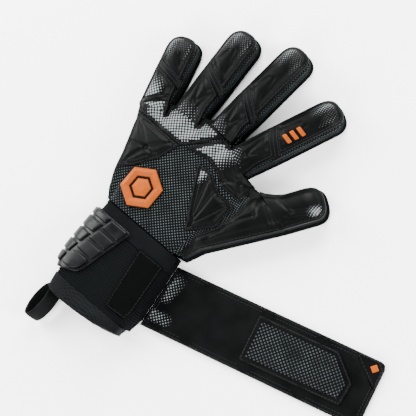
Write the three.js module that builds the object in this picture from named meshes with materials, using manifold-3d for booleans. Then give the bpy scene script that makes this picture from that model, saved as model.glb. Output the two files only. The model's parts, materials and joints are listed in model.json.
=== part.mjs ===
// A left goalkeeper glove, palm down, with its wrist strap opened out flat.
// Millimetres. +Y runs from the wrist to the fingers, +X to the thumb side, +Z out of the back of the hand.
// The origin is on the palm's rest face, under the middle of the hand.
import * as THREE from 'three';
import { mergeVertices } from 'three/addons/utils/BufferGeometryUtils.js';
import Module from 'manifold-3d';

const wasm = await Module();
wasm.setup();

// ---- driving dimensions -------------------------------------------------------------------------

const layerGap = 0.4;          // between two layers that are sewn or laminated together
const latexThickness = 6.5;    // palm latex with its foam backing
const fingerHeight = 25;       // whole finger, palm face to back
const fingerWidth = 29;        // at the middle of a finger
const fingerRootWidth = 27.4;  // at the knuckle fold
const fingerTaper = 24;        // length over which a finger reaches its full width
const fingerClearance = 1.2;   // from a finger's side to the hand
const fingerPadThickness = 6;
const sleeveWall = 2.6;
const handHeight = 28;
const handPadThickness = 3.6;
const backPanelThickness = 3.6;
const cuffHeight = 27;
const cuffWall = 3;
const foldHeight = 9;          // height of the finger fold lines above the rest face
const foldGap = 0.7;           // clearance between two lengths at a fold line
const knuckleBend = 60;        // degrees of flexion at a knuckle
const knuckleBack = 8;         // degrees a knuckle bends back
const fingerBend = 62;         // degrees of flexion at a finger's middle fold
const thumbRootBend = 45;
const thumbBend = 55;
const wristBend = 25;          // degrees the cuff folds either way against the hand
const wristY = -56;            // place of the wrist fold
const wristFoldHeight = 14;
const hemLength = 16;
const guardThickness = 3;       // the wrist guard's plate; its blocks stand a little proud
const strapLength = 195;
const strapWidth = 56.5;
const strapThickness = 4;
const strapLean = 14.7;        // degrees the open strap leans towards the fingers
const strapRoot = [54.2, -82]; // middle of the strap's sewn root
const strapFolds = [1, 7, 60, 117, 161];
const strapBack = 25;          // degrees each strap fold bends up
const hookThickness = 1.2;
const loopWidth = 15;          // width of the pull loop's webbing
const loopThickness = 1.6;
const loopRoot = [-24, -134, 9.8];

const sleeveTop = fingerHeight - fingerPadThickness - layerGap;
const backPanelTop = handHeight - handPadThickness - layerGap;
const backPanelBottom = backPanelTop - backPanelThickness;
const strapEdge = strapWidth / 2;

// Each finger: the middle of its knuckle fold, its lean to the thumb side, the length in front of the fold
// and the distance to its middle fold.
const fingers = [
  { name: 'little', knuckle: [-59, 40], lean: -14.7, reach: 61, middleFold: 32 },
  { name: 'ring', knuckle: [-29.5, 52], lean: -2.6, reach: 82, middleFold: 42 },
  { name: 'middle', knuckle: [5.2, 60], lean: 5.7, reach: 90.5, middleFold: 36 },
  { name: 'index', knuckle: [34.6, 49.5], lean: 24.7, reach: 90, middleFold: 38 },
];
const thumb = { origin: [68, 4], lean: 35.3, reach: 75, middleFold: 44, width: 32, tipWidth: 29 };
const thumbFold = { start: [61.5, 33], end: [49, -50] };

const palmOutline = [
  [-40, -53], [-44, -42], [-50.5, -18], [-55.8, 0], [-62, 15], [-73.5, 33],
  [-73, 38], [-45.5, 46], [-44, 53], [-15.2, 61.5], [-9, 62], [16, 60], [19.2, 54],
  [47.5, 45.5], [49.5, 39], [53, 35.5], [58.5, 35], [62, 33], [50, -47], [45.3, -53],
];
const cuffOutline = [
  [-36, -57], [45.3, -57], [51.5, -108], [49.8, -118], [47, -131], [30, -135.5], [10, -137.5],
  [-10, -138.5], [-22, -137.5], [-27.5, -133], [-29, -121], [-34, -112], [-36, -100],
];
const guardOutline = [
  [-43, -58.8], [5, -58.8], [-7.5, -105], [-12, -111], [-21, -115.5], [-33, -119], [-39, -116], [-43, -104],
];
const loopPatchOutline = [[19, -63], [44, -63], [49, -108], [47, -116], [27, -117.5], [23, -112]];

// ---- finishes -----------------------------------------------------------------------------------

const finish = (color, roughness) => new THREE.MeshStandardMaterial({ color, roughness, metalness: 0 });
const latex = finish('#1a1d1d', 0.75);
const padFoam = finish('#1f2424', 0.5);
const meshFabric = finish('#262b2a', 0.9);
const ribFabric = finish('#202322', 0.92);
const loopPile = finish('#101112', 0.98);
const guardRubber = finish('#2a2e2f', 0.42);
const badgeRubber = finish('#ff7a14', 0.45);
const webbing = finish('#15171a', 0.85);

// ---- solids -------------------------------------------------------------------------------------

const tanOf = (angle) => Math.tan(THREE.MathUtils.degToRad(angle));

function solidOf(geometry) {
  const bare = geometry.index ? geometry.toNonIndexed() : geometry.clone();
  bare.deleteAttribute('normal');
  bare.deleteAttribute('uv');
  const merged = mergeVertices(bare, 1e-4);
  return new wasm.Manifold(new wasm.Mesh({
    numProp: 3,
    vertProperties: merged.attributes.position.array,
    triVerts: new Uint32Array(merged.index.array),
  }));
}

function extruded(points, depth) {
  const shape = new THREE.Shape(points.map(([across, along]) => new THREE.Vector2(across, along)));
  return new THREE.ExtrudeGeometry(shape, { depth, bevelEnabled: false });
}

// An outline in X and Y, raised from one height to another.
function raised(points, bottom, top) {
  return solidOf(extruded(points, top - bottom).translate(0, 0, bottom));
}

// A side view in Y and Z, as wide as given about X = 0, placed by a frame if there is one.
function sideways(points, width, frame = new THREE.Matrix4()) {
  const geometry = extruded(points, width).translate(0, 0, -width / 2);
  const turn = new THREE.Matrix4().makeBasis(
    new THREE.Vector3(0, 1, 0), new THREE.Vector3(0, 0, 1), new THREE.Vector3(1, 0, 0));
  return solidOf(geometry.applyMatrix4(turn).applyMatrix4(frame));
}

// A section in X and Z, drawn out along Y between two places.
function lengthways(points, start, end) {
  const turn = new THREE.Matrix4().makeBasis(
    new THREE.Vector3(1, 0, 0), new THREE.Vector3(0, 0, 1), new THREE.Vector3(0, -1, 0));
  return solidOf(extruded(points, end - start).applyMatrix4(turn).translate(0, end, 0));
}

function layer(bottom, top) {
  const far = 400;
  return raised([[-far, -far], [far, -far], [far, far], [-far, far]], bottom, top);
}

function part(name, solid, material) {
  const cut = solid.getMesh();
  const geometry = new THREE.BufferGeometry();
  geometry.setAttribute('position', new THREE.BufferAttribute(cut.vertProperties, 3));
  geometry.setIndex(new THREE.BufferAttribute(cut.triVerts, 1));
  geometry.computeVertexNormals();
  const mesh = new THREE.Mesh(geometry, material);
  mesh.name = name;
  return mesh;
}

function frameAt([x, y], lean) {
  const turn = new THREE.Matrix4().makeRotationZ(-THREE.MathUtils.degToRad(lean));
  return new THREE.Matrix4().makeTranslation(x, y, 0).multiply(turn);
}

function placed(frame) {
  const group = new THREE.Group();
  group.applyMatrix4(frame);
  return group;
}

// ---- fold lines ---------------------------------------------------------------------------------

// The side-view points of a face at a fold line, bottom to top. The face leans back from the fold line,
// below it for the bend and above it for the bend back. side is 1 in front of the line and -1 behind it.
function foldFace(place, side, height, lineHeight, bend, back) {
  const start = place + side * foldGap / 2;
  return [
    [start + side * lineHeight * tanOf(bend / 2 + 1), 0],
    [start, lineHeight],
    [start + side * (height - lineHeight) * tanOf(back / 2 + 1), height],
  ];
}

// All the space in front of a fold line that the bending length fills or sweeps, inside a plan outline.
function foldSpace(frame, outline, height, lineHeight, bend, back) {
  const far = 300;
  const [bottom, line, top] = foldFace(0, -1, height, lineHeight, bend, back);
  const side = [[far, -1], [far, height + 1], [top[0], height + 1], top, line, bottom, [bottom[0], -1]];
  return sideways(side, far).intersect(raised(outline, -2, height + 2)).transform(frame.elements);
}

// ---- fingers ------------------------------------------------------------------------------------

// The half outline of a blunt rounded tip, from its right side to its left.
function tipOutline(reach, width, depth) {
  const steps = 12;
  const points = [];
  for (let i = 0; i <= steps; i += 1) {
    const angle = Math.PI * i / steps;
    const bluntness = 0.78;
    const across = Math.sign(Math.cos(angle)) * Math.abs(Math.cos(angle)) ** bluntness;
    points.push([across * width / 2, reach - depth + depth * Math.sin(angle) ** bluntness]);
  }
  return points;
}

function fingerSection(width, height) {
  const half = width / 2;
  return [
    [-half + 2.5, 0], [half - 2.5, 0], [half, 4], [half, height - 9], [half - 2.2, height - 3.2],
    [half - 6, height], [-half + 6, height], [-half + 2.2, height - 3.2], [-half, height - 9], [-half, 4],
  ];
}

// The three layers of one length of a finger, cut from its outer shell: palm latex, sleeve and back pad.
function fingerLayers(name, shell, hollow) {
  const sleeve = shell.intersect(layer(latexThickness + layerGap, sleeveTop)).subtract(hollow);
  return [
    part(`${name}_palm_latex`, shell.intersect(layer(-1, latexThickness)), latex),
    part(`${name}_sleeve`, sleeve, meshFabric),
    part(`${name}_back_pad`, shell.intersect(layer(sleeveTop + layerGap, fingerHeight + 1)), padFoam),
  ];
}

function rootLength(finger) {
  const end = finger.middleFold;
  const [half, rootHalf] = [fingerWidth / 2, fingerRootWidth / 2];
  const outline = [
    [-rootHalf, 0], [rootHalf, 0], [half, fingerTaper], [half, end + 1], [-half, end + 1], [-half, fingerTaper],
  ];
  const start = foldFace(0, 1, fingerHeight, foldHeight, knuckleBend, knuckleBack);
  const stop = foldFace(end, -1, fingerHeight, foldHeight, fingerBend, 0);
  const shell = raised(outline, 0, fingerHeight)
    .intersect(sideways([start[0], ...stop, start[2], start[1]], fingerWidth))
    .intersect(lengthways(fingerSection(fingerWidth, fingerHeight), -5, end + 5));
  const inner = fingerRootWidth / 2 - sleeveWall;
  const hollow = raised([[-inner, -9], [inner, -9], [inner, end + 9], [-inner, end + 9]],
    0, sleeveTop - sleeveWall);
  return fingerLayers(`${finger.name}_root`, shell, hollow);
}

function tipProfile(reach, height) {
  return [
    [reach - 9, 0], [reach - 2.5, 3], [reach, 8], [reach, 14], [reach - 2.5, 19.5], [reach - 8, height - 1.5],
    [reach - 15, height],
  ];
}

function tipLength(finger, width, tipDepth) {
  const start = finger.middleFold;
  const bend = finger.bend ?? fingerBend;
  const half = width / 2;
  const outline = [[-half, start - 1], [half, start - 1], ...tipOutline(finger.reach, width, tipDepth)];
  const face = foldFace(start, 1, fingerHeight, foldHeight, bend, 0);
  const shell = raised(outline, 0, fingerHeight)
    .intersect(sideways([face[0], ...tipProfile(finger.reach, fingerHeight), face[2], face[1]], width))
    .intersect(lengthways(fingerSection(width, fingerHeight), start - 5, finger.reach + 5));
  const inner = half - sleeveWall;
  const end = finger.reach - sleeveWall;
  const hollow = raised([[-inner, start - 9], [inner, start - 9], ...tipOutline(end, 2 * inner, tipDepth)],
    0, sleeveTop - sleeveWall);
  return fingerLayers(`${finger.name}_tip`, shell, hollow);
}

function fingerGroup(finger) {
  const group = placed(frameAt(finger.knuckle, finger.lean));
  group.add(...rootLength(finger), ...tipLength(finger, fingerWidth, 13));
  return group;
}

// ---- hand ---------------------------------------------------------------------------------------

// The thumb's root fold runs down the hand, so its frame looks out over the thumb.
const thumbFoldFrame = (() => {
  const { start, end } = thumbFold;
  const lean = THREE.MathUtils.radToDeg(Math.atan2(start[1] - end[1], end[0] - start[0]));
  return frameAt([(start[0] + end[0]) / 2, (start[1] + end[1]) / 2], lean);
})();

// A finger's own outline with its side clearance, drawn on both ways past the knuckle fold.
const fingerSpaceOutline = (() => {
  const [half, rootHalf] = [fingerWidth / 2 + fingerClearance, fingerRootWidth / 2 + fingerClearance];
  return [
    [-rootHalf, -60], [rootHalf, -60], [rootHalf, 0], [half, fingerTaper], [half, 200], [-half, 200],
    [-half, fingerTaper], [-rootHalf, 0],
  ];
})();
const fingerSpaces = fingers.map((finger) => foldSpace(frameAt(finger.knuckle, finger.lean),
  fingerSpaceOutline, handHeight, foldHeight, knuckleBend, knuckleBack));
const thumbSpace = foldSpace(thumbFoldFrame, [[-60, -60], [60, -60], [60, 60], [-60, 60]],
  handHeight, foldHeight, thumbRootBend, 0);

function wristCut(side) {
  const face = foldFace(wristY, side, handHeight + 6, wristFoldHeight, wristBend, wristBend);
  const far = wristY + side * 300;
  return sideways([[far, -1], [face[0][0], -1], ...face, [face[2][0], 40], [far, 40]], 600);
}

const handShell = (() => {
  const section = [
    [-80, 0], [64, 0], [64, 18], [52, 26], [34, handHeight], [-34, handHeight], [-50, 26], [-62, 20], [-80, 16],
  ];
  const whole = raised(palmOutline, 0, handHeight)
    .intersect(lengthways(section, -60, 70))
    .intersect(wristCut(1));
  return [...fingerSpaces, thumbSpace].reduce((solid, space) => solid.subtract(space), whole);
})();

// The hollow of the hand: a chamber behind the knuckles with a channel into each finger and the thumb.
const handHollow = (() => {
  const chamber = [
    [-37, -60], [-41, -42], [-47.5, -18], [-52.5, 0], [-58, 13], [-66, 27], [-56, 33], [-25, 41], [10, 46],
    [38, 36], [53, 25], [55, 20], [47.5, -38], [42, -60],
  ];
  const inner = fingerRootWidth / 2 - sleeveWall;
  const channel = [[-inner, -14], [inner, -14], [inner, 20], [-inner, 20]];
  const channels = fingers.map((finger) => solidOf(
    extruded(channel, backPanelBottom).applyMatrix4(frameAt(finger.knuckle, finger.lean))));
  const thumbChannel = raised([[40, -30], [64, -30], [68, 18], [40, 18]], 0, backPanelBottom);
  return [...channels, thumbChannel].reduce((solid, next) => solid.add(next),
    raised(chamber, 0, backPanelBottom));
})();

function handWalls() {
  const names = [
    'little_side_wall', 'little_ring_web', 'ring_middle_web', 'middle_index_web', 'thumb_wrist_wall',
    'index_thumb_web',
  ];
  const ring = handShell.intersect(layer(latexThickness + layerGap, backPanelBottom - layerGap))
    .subtract(handHollow);
  const smallest = 30;
  const middleX = (solid) => {
    const box = solid.boundingBox();
    return box.min[0] + box.max[0] + 0.001 * (box.min[1] + box.max[1]);
  };
  return ring.decompose()
    .filter((piece) => piece.volume() > smallest)
    .sort((a, b) => middleX(a) - middleX(b))
    .map((piece, i) => part(names[i], piece, meshFabric));
}

function backPads() {
  const outlines = {
    outer_knuckle_pad: [[-70, 25.5], [-13, 25.5], [-21, 6], [-34, -12], [-47, -22], [-60, -10]],
    ulnar_knuckle_pad: [[-80, 28], [-12.5, 28], [-9, 32], [5.5, 46.5], [22, 66], [-80, 66]],
    index_knuckle_pad: [[-5, 25], [14, 30], [25, 27], [38.5, 19.5], [66, 19.5], [66, 60], [26, 64], [9, 44]],
    thumb_side_pad: [[9, 21.5], [37.5, -27], [66, -8], [66, 14], [41, 14.5], [37.5, 15.5], [24, 23]],
  };
  const zone = handShell.intersect(layer(backPanelTop + layerGap, handHeight + 1));
  return Object.entries(outlines).map(([name, outline]) => part(
    name, zone.intersect(raised(outline, 0, handHeight + 1)), padFoam));
}

// The raised rubber badge on the back: a hexagonal frame round a lozenge, on a thin plate.
function badge() {
  const middle = [-16, -24];
  const ringOf = (radius, count, turn = 0) => Array.from({ length: count }, (_, i) => {
    const angle = Math.PI * 2 * i / count + turn;
    return [middle[0] + radius * Math.cos(angle), middle[1] + radius * Math.sin(angle)];
  });
  const bottom = backPanelTop + layerGap;
  const plate = raised(ringOf(20, 6), bottom, bottom + 1);
  const frame = raised(ringOf(20, 6), bottom, bottom + 2.6)
    .subtract(raised(ringOf(13, 6), bottom - 1, bottom + 9));
  return plate.add(frame).add(raised(ringOf(7, 4), bottom, bottom + 2.6));
}

function handGroup() {
  const group = new THREE.Group();
  const panel = handShell.intersect(layer(backPanelBottom, backPanelTop));
  group.add(
    part('palm_latex', handShell.intersect(layer(-1, latexThickness)), latex),
    part('back_mesh', panel, meshFabric),
    part('badge', badge(), badgeRubber),
    ...handWalls(),
    ...backPads(),
  );
  return group;
}

// ---- thumb --------------------------------------------------------------------------------------

const thumbRootOutline = [
  [61, 34.5], [68, 38], [78, 47.5], [88, 62], [116, 60], [116.5, 45], [109, 29.5], [66.8, -19], [56.5, -32],
  [48.5, -47], [52, 0], [58, 20],
];
const thumbRootHollow = [
  [40, -28], [59, -28], [70, -7], [98, 26], [118, 60], [86, 62], [79, 52], [66, 31], [40, 24],
];
const thumbBevel = { width: 7, start: 15 };
const thumbSectionReach = { inward: 60, along: 300 };

function thumbSection(frame) {
  // an upright section drawn out along the thumb: its outer edge is bevelled, and it runs on into the hand
  const half = thumb.width / 2;
  const inward = -thumbSectionReach.inward;
  const section = [
    [inward, -1], [half, -1], [half, thumbBevel.start], [half - thumbBevel.width, fingerHeight],
    [inward, fingerHeight],
  ];
  const upright = new THREE.Matrix4().makeBasis(
    new THREE.Vector3(1, 0, 0), new THREE.Vector3(0, 0, 1), new THREE.Vector3(0, -1, 0));
  return solidOf(extruded(section, thumbSectionReach.along).applyMatrix4(upright)
    .translate(0, thumbSectionReach.along / 2, 0).applyMatrix4(frame));
}

function thumbRootLength() {
  const frame = frameAt(thumb.origin, thumb.lean);
  const [bottom, line, top] = foldFace(0, 1, handHeight, foldHeight, thumbRootBend, 0);
  const start = sideways([[90, -1], [90, 40], [top[0], 40], top, line, bottom, [bottom[0], -1]], 140, thumbFoldFrame);
  const stop = foldFace(thumb.middleFold, -1, fingerHeight, foldHeight, thumbBend, 0);
  const end = sideways([[-90, -1], [stop[0][0], -1], ...stop, [stop[2][0], 40], [-90, 40]], 200, frame);
  const shell = raised(thumbRootOutline, 0, fingerHeight).intersect(start).intersect(end)
    .intersect(thumbSection(frame));
  return fingerLayers('thumb_root', shell, raised(thumbRootHollow, 0, sleeveTop - sleeveWall));
}

function thumbGroups() {
  const tip = placed(frameAt(thumb.origin, thumb.lean));
  tip.add(...tipLength({ ...thumb, name: 'thumb', bend: thumbBend }, thumb.tipWidth, 12));
  const root = new THREE.Group();
  root.add(...thumbRootLength());
  return [root, tip];
}

// ---- cuff ---------------------------------------------------------------------------------------

// The strap's own frame runs along +Y from its sewn root, with +X towards the wrist end of the glove.
const strapFrame = frameAt(strapRoot, 90 - strapLean);
const strapStack = strapThickness + 1.6;

const cuffSection = (inset, bottom, top) => [
  [-36 + inset, bottom], [60 - inset, bottom], [60 - inset, top - 9], [42 - inset / 2, top], [-28 + inset / 2, top],
  [-36 + inset, top - 8],
];

const cuffShell = raised(cuffOutline, 0, cuffHeight).intersect(wristCut(-1))
  .intersect(lengthways(cuffSection(0, 0, cuffHeight), -145, -50));

// The hollow of the cuff, open at both ends: the outline drawn in by one wall.
const cuffHollow = (() => {
  const outline = [
    [-33, -50], [41.7, -50], [48.2, -108], [46.6, -118], [42.5, -150], [-23.5, -150], [-25.5, -121],
    [-31, -111], [-33, -99],
  ];
  return raised(outline, latexThickness, cuffHeight - cuffWall)
    .intersect(lengthways(cuffSection(cuffWall, 0, cuffHeight - cuffWall), -160, -40));
})();

function alongCuff(start, end) {
  return raised([[-80, end], [80, end], [80, start], [-80, start]], -1, 60);
}

// The moulded wrist guard: a curved plate over the outer edge of the cuff, with two rows of raised blocks.
function wristGuard() {
  const outline = raised(guardOutline, 0, 60);
  const [inside, outside] = [cuffHeight + layerGap, cuffHeight + layerGap + guardThickness];
  const shoulder = cuffHeight - 7;  // height where the guard turns from the top down the side
  const plate = [
    [-36.4, 8], [-36.4, shoulder - 0.8], [-28.2, inside], [12, inside], [12, outside], [-29.5, outside],
    [-39.4, shoulder + 0.2],
    [-39.4, 8],
  ];
  const topBlock = [[-27.5, outside - 1], [12, outside - 1], [12, outside + 1.8], [-27.5, outside + 1.8]];
  const sideBlock = [
    [-38, 11], [-41.4, 11], [-41.4, shoulder + 0.8], [-30.8, outside + 1.6], [-29, outside + 0.4],
    [-31, outside - 1.5], [-38, shoulder + 0.5],
  ];
  const plateSolid = lengthways(plate, -130, -50).intersect(outline);
  const inner = raised(guardOutline.map(([x, y]) => [-17 + (x + 17) * 0.93, -86 + (y + 86) * 0.955]), 0, 60);
  const [firstBlock, blockPitch, blockLength, blockCount] = [-60.2, 11.8, 10.2, 5];
  let guard = plateSolid;
  for (let i = 0; i < blockCount; i += 1) {
    const start = firstBlock - i * blockPitch;
    const top = lengthways(topBlock, start - blockLength, start).intersect(inner);
    const side = lengthways(sideBlock, start - blockLength - 2, start - 2);
    guard = guard.add(top).add(side);
  }
  return guard.intersect(wristCut(-1));
}

// The flat edge of the palm latex that the strap is sewn to.
function strapFlange() {
  const end = strapFolds[0] - foldGap / 2;
  const open = strapThickness * tanOf(strapBack / 2 + 1);
  const edge = sideways([[-20, 0], [end, 0], [end - open, strapThickness], [-20, strapThickness]],
    strapWidth, strapFrame);
  return edge.intersect(raised([[44, wristY - 3], [80, wristY - 3], [80, -125], [44, -125]], -1, 10));
}

function cuffGroup() {
  const group = new THREE.Group();
  const bandEnd = wristY - 9;
  const hemStart = -138.5 + hemLength;
  const upper = cuffShell.intersect(layer(latexThickness + layerGap, cuffHeight + 1)).subtract(cuffHollow);
  const hemHollow = raised([[-24.5, -150], [44, -150], [46, -100], [-26, -100]], cuffWall, cuffHeight - cuffWall);
  const loopNotch = raised([[-36, -150], [-13, -150], [-13, -129.6], [-36, -129.6]],
    -1, loopRoot[2] + 12);
  const body = alongCuff(wristY + 20, hemStart + layerGap);
  group.add(
    part('cuff_palm_latex', cuffShell.intersect(layer(-1, latexThickness)).intersect(body).add(strapFlange()), latex),
    part('knit_band', upper.intersect(alongCuff(wristY + 20, bandEnd)), meshFabric),
    part('ribbed_cuff', upper.intersect(alongCuff(bandEnd - layerGap, hemStart + layerGap)), ribFabric),
    part('mesh_hem', cuffShell.intersect(alongCuff(hemStart, -150)).subtract(hemHollow)
      .subtract(loopNotch), meshFabric),
    part('loop_patch', raised(loopPatchOutline, cuffHeight + layerGap, cuffHeight + 1.8), loopPile),
    part('wrist_guard', wristGuard(), guardRubber),
  );
  return group;
}

// ---- strap --------------------------------------------------------------------------------------

// The space of one flat length between two folds. The fold lines lie on the underside.
function betweenFolds(start, end) {
  const open = strapStack * tanOf(strapBack / 2 + 1);
  const [from, to] = [start + foldGap / 2, end - foldGap / 2];
  return sideways([[from, 0], [to, 0], [to - open, strapStack], [from + open, strapStack]], strapWidth + 10);
}

const strapOutline = (() => {
  const corner = 5;
  return [
    [-strapEdge, 0], [strapEdge, 0], [strapEdge, strapLength - 2], [strapEdge - 2, strapLength],
    [corner - strapEdge, strapLength], [1.5 - strapEdge, strapLength - 1.5], [-strapEdge, strapLength - corner],
  ];
})();

// The embossed window keeps its distance from the strap's tip and edges.
const windowOutline = [
  [strapEdge - 8.7, 81], [strapEdge - 9.7, strapLength - 21], [-2, strapLength - 19],
  [7.3 - strapEdge, strapLength - 40], [7.3 - strapEdge, 81],
];

function strapGroup() {
  const group = placed(strapFrame);
  const ends = [...strapFolds.slice(1), strapLength + 3];
  const lastFold = strapFolds[strapFolds.length - 1];
  const windowBottom = strapThickness + layerGap;
  strapFolds.forEach((start, i) => {
    const space = betweenFolds(start, ends[i]);
    const bottom = start === lastFold ? hookThickness + layerGap : 0;
    group.add(part(`strap_length_${i + 1}`,
      raised(strapOutline, bottom, strapThickness).intersect(space), padFoam));
    if (ends[i] > windowOutline[0][1]) {
      group.add(part(`strap_window_${i - 1}`,
        raised(windowOutline, windowBottom, strapStack).intersect(space), meshFabric));
    }
  });
  const hook = [[strapEdge - 5, lastFold + 6], [strapEdge - 5, strapLength - 4], [5 - strapEdge, strapLength - 4],
    [5 - strapEdge, lastFold + 6]];
  const tab = [[0.5 - strapEdge, strapLength - 29], [0.5 - strapEdge, strapLength - 6],
    [6 - strapEdge, strapLength - 0.5], [-3, strapLength - 0.5], [-15.5, strapLength - 15]];
  group.add(
    part('hook_patch', raised(hook, 0, hookThickness), loopPile),
    part('corner_tab', raised(tab, windowBottom, strapStack), padFoam),
  );
  return group;
}

// ---- pull loop ----------------------------------------------------------------------------------

// A pointed oval of webbing that leaves the hem's outer corner, leaning over to the little-finger side.
function pullLoop() {
  const [length, bulge, lean] = [33, 6.5, 65];
  const oval = (halfLength, halfWidth) => Array.from({ length: 20 }, (_, i) => {
    const angle = Math.PI * 2 * i / 20;
    return [halfWidth * Math.cos(angle), halfLength * Math.sin(angle)];
  });
  const outer = raised(oval(length / 2, bulge), -loopWidth / 2, loopWidth / 2);
  const inner = raised(oval(length / 2 - loopThickness, bulge - loopThickness), -loopWidth, loopWidth);
  const mesh = part('pull_loop', outer.subtract(inner), webbing);
  mesh.rotation.y = -THREE.MathUtils.degToRad(90 - lean);
  mesh.position.set(loopRoot[0], loopRoot[1] - length / 2, loopRoot[2]);
  return mesh;
}

const glove = new THREE.Group();
glove.add(...fingers.map(fingerGroup), handGroup(), ...thumbGroups(), cuffGroup(), strapGroup(), pullLoop());

export default glove;
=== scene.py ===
import json
import math

import bpy
import numpy as np
from mathutils import Matrix, Vector
from mathutils.geometry import delaunay_2d_cdt


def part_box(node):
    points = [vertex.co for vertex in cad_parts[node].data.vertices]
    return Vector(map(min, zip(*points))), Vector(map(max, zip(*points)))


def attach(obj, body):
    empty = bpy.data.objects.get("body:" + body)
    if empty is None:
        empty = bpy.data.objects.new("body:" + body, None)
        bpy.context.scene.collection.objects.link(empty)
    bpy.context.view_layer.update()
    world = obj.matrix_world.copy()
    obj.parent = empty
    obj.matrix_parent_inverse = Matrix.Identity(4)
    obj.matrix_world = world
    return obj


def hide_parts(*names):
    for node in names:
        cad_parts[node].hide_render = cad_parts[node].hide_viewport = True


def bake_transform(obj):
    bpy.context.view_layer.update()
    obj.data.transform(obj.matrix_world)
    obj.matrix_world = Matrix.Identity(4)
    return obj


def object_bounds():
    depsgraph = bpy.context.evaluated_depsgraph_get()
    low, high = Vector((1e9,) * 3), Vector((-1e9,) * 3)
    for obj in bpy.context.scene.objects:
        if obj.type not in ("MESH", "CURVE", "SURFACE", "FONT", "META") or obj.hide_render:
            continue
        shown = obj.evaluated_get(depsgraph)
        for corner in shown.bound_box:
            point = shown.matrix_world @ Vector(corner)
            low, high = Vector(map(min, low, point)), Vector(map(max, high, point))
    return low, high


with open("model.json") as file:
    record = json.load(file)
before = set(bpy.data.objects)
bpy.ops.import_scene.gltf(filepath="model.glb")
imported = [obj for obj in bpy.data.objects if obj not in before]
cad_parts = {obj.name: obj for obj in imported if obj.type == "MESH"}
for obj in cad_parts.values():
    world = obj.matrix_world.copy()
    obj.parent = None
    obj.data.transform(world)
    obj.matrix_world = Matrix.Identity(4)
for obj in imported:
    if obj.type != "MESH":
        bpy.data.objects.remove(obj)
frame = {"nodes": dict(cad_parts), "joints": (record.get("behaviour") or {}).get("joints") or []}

cadBounds = [list(corner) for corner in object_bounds()]
bpy.ops.object.select_all(action="DESELECT")
joints = {joint["name"]: joint for joint in frame["joints"]}
mm = 0.001      # shapes below are worked out in millimetres, and meshes are made in metres
uvScale = 0.01  # one unit of a UV map is 100 mm

# camera and light

view = {
    "aim": (31.4, -1.8, 0.0),
    "toward": (0.342, 0.0, 0.940),
    "up": (-0.604, 0.766, 0.220),
    "distance": 1925.0,
    "lens": 200.0,
}
lights = [  # name, place in mm, size in mm, watts
    ("softTop", (-420, 850, 620), 700, 46.0),
    ("softLeft", (-900, -150, 560), 600, 35.0),
    ("softRight", (900, 350, 560), 600, 33.0),
    ("softNear", (150, -900, 600), 700, 28.0),
]
stageColor = (0.97, 0.97, 0.97, 1)
worldLight = 0.8


def addCamera():
    data = bpy.data.cameras.new("camera")
    data.lens = view["lens"]
    data.clip_end = 10
    toward, up = Vector(view["toward"]).normalized(), Vector(view["up"]).normalized()
    right = up.cross(toward)
    place = Vector(view["aim"]) + toward * view["distance"]
    cam = bpy.data.objects.new("camera", data)
    cam.matrix_world = Matrix.Translation(place * mm) @ Matrix((right, up, toward)).transposed().to_4x4()
    bpy.context.scene.collection.objects.link(cam)
    bpy.context.scene.camera = cam


def addLights():
    for name, place, size, power in lights:
        data = bpy.data.lights.new(name, "AREA")
        data.size = size * mm
        data.energy = power
        lamp = bpy.data.objects.new(name, data)
        lamp.location = Vector(place) * mm
        lamp.rotation_euler = (-Vector(place)).to_track_quat("-Z", "Y").to_euler()
        bpy.context.scene.collection.objects.link(lamp)
    world = bpy.data.worlds.new("studio")
    world.use_nodes = True
    world.node_tree.nodes["Background"].inputs["Color"].default_value = (1, 1, 1, 1)
    world.node_tree.nodes["Background"].inputs["Strength"].default_value = worldLight
    bpy.context.scene.world = world


def addFloor():
    bpy.ops.mesh.primitive_plane_add(size=6, location=(0, 0, cadBounds[0][2]))
    floor = bpy.context.object
    floor.name = "floor"
    material = bpy.data.materials.new("paleFloor")
    material.use_nodes = True
    shader = material.node_tree.nodes["Principled BSDF"]
    shader.inputs["Base Color"].default_value = stageColor
    shader.inputs["Roughness"].default_value = 0.9
    floor.data.materials.append(material)


addCamera()
addLights()
addFloor()
print("camera, lights and floor are ready")

# shader helpers


def addNode(tree, kind, links=None, values=None, **settings):
    node = tree.nodes.new(kind)
    for key, value in settings.items():
        setattr(node, key, value)
    for key, value in (values or {}).items():
        node.inputs[key].default_value = value
    for key, source in (links or {}).items():
        tree.links.new(source, node.inputs[key])
    return node


def calculate(tree, operation, first, second, third=None):
    node = tree.nodes.new("ShaderNodeMath")
    node.operation = operation
    for index, item in enumerate((first, second, third)):
        if item is None:
            continue
        if isinstance(item, (int, float)):
            node.inputs[index].default_value = item
        else:
            tree.links.new(item, node.inputs[index])
    return node.outputs[0]


def vectorMath(tree, operation, first, second):
    node = tree.nodes.new("ShaderNodeVectorMath")
    node.operation = operation
    tree.links.new(first, node.inputs[0])
    if isinstance(second, (tuple, list)):
        node.inputs[1].default_value = second
    elif isinstance(second, (int, float)):
        node.inputs["Scale"].default_value = second
    elif second is not None:
        tree.links.new(second, node.inputs[1])
    return node


def mixColors(tree, factor, first, second):
    node = tree.nodes.new("ShaderNodeMix")
    node.data_type = "RGBA"
    tree.links.new(factor, node.inputs[0])
    for index, item in ((6, first), (7, second)):
        if isinstance(item, (tuple, list)):
            node.inputs[index].default_value = item
        else:
            tree.links.new(item, node.inputs[index])
    return node.outputs[2]


def remap(tree, value, fromMin, fromMax, toMin=0.0, toMax=1.0):
    node = addNode(tree, "ShaderNodeMapRange", {"Value": value})
    for name, item in (("From Min", fromMin), ("From Max", fromMax), ("To Min", toMin), ("To Max", toMax)):
        if isinstance(item, (int, float)):
            node.inputs[name].default_value = item
        else:
            tree.links.new(item, node.inputs[name])
    return node.outputs[0]


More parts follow.
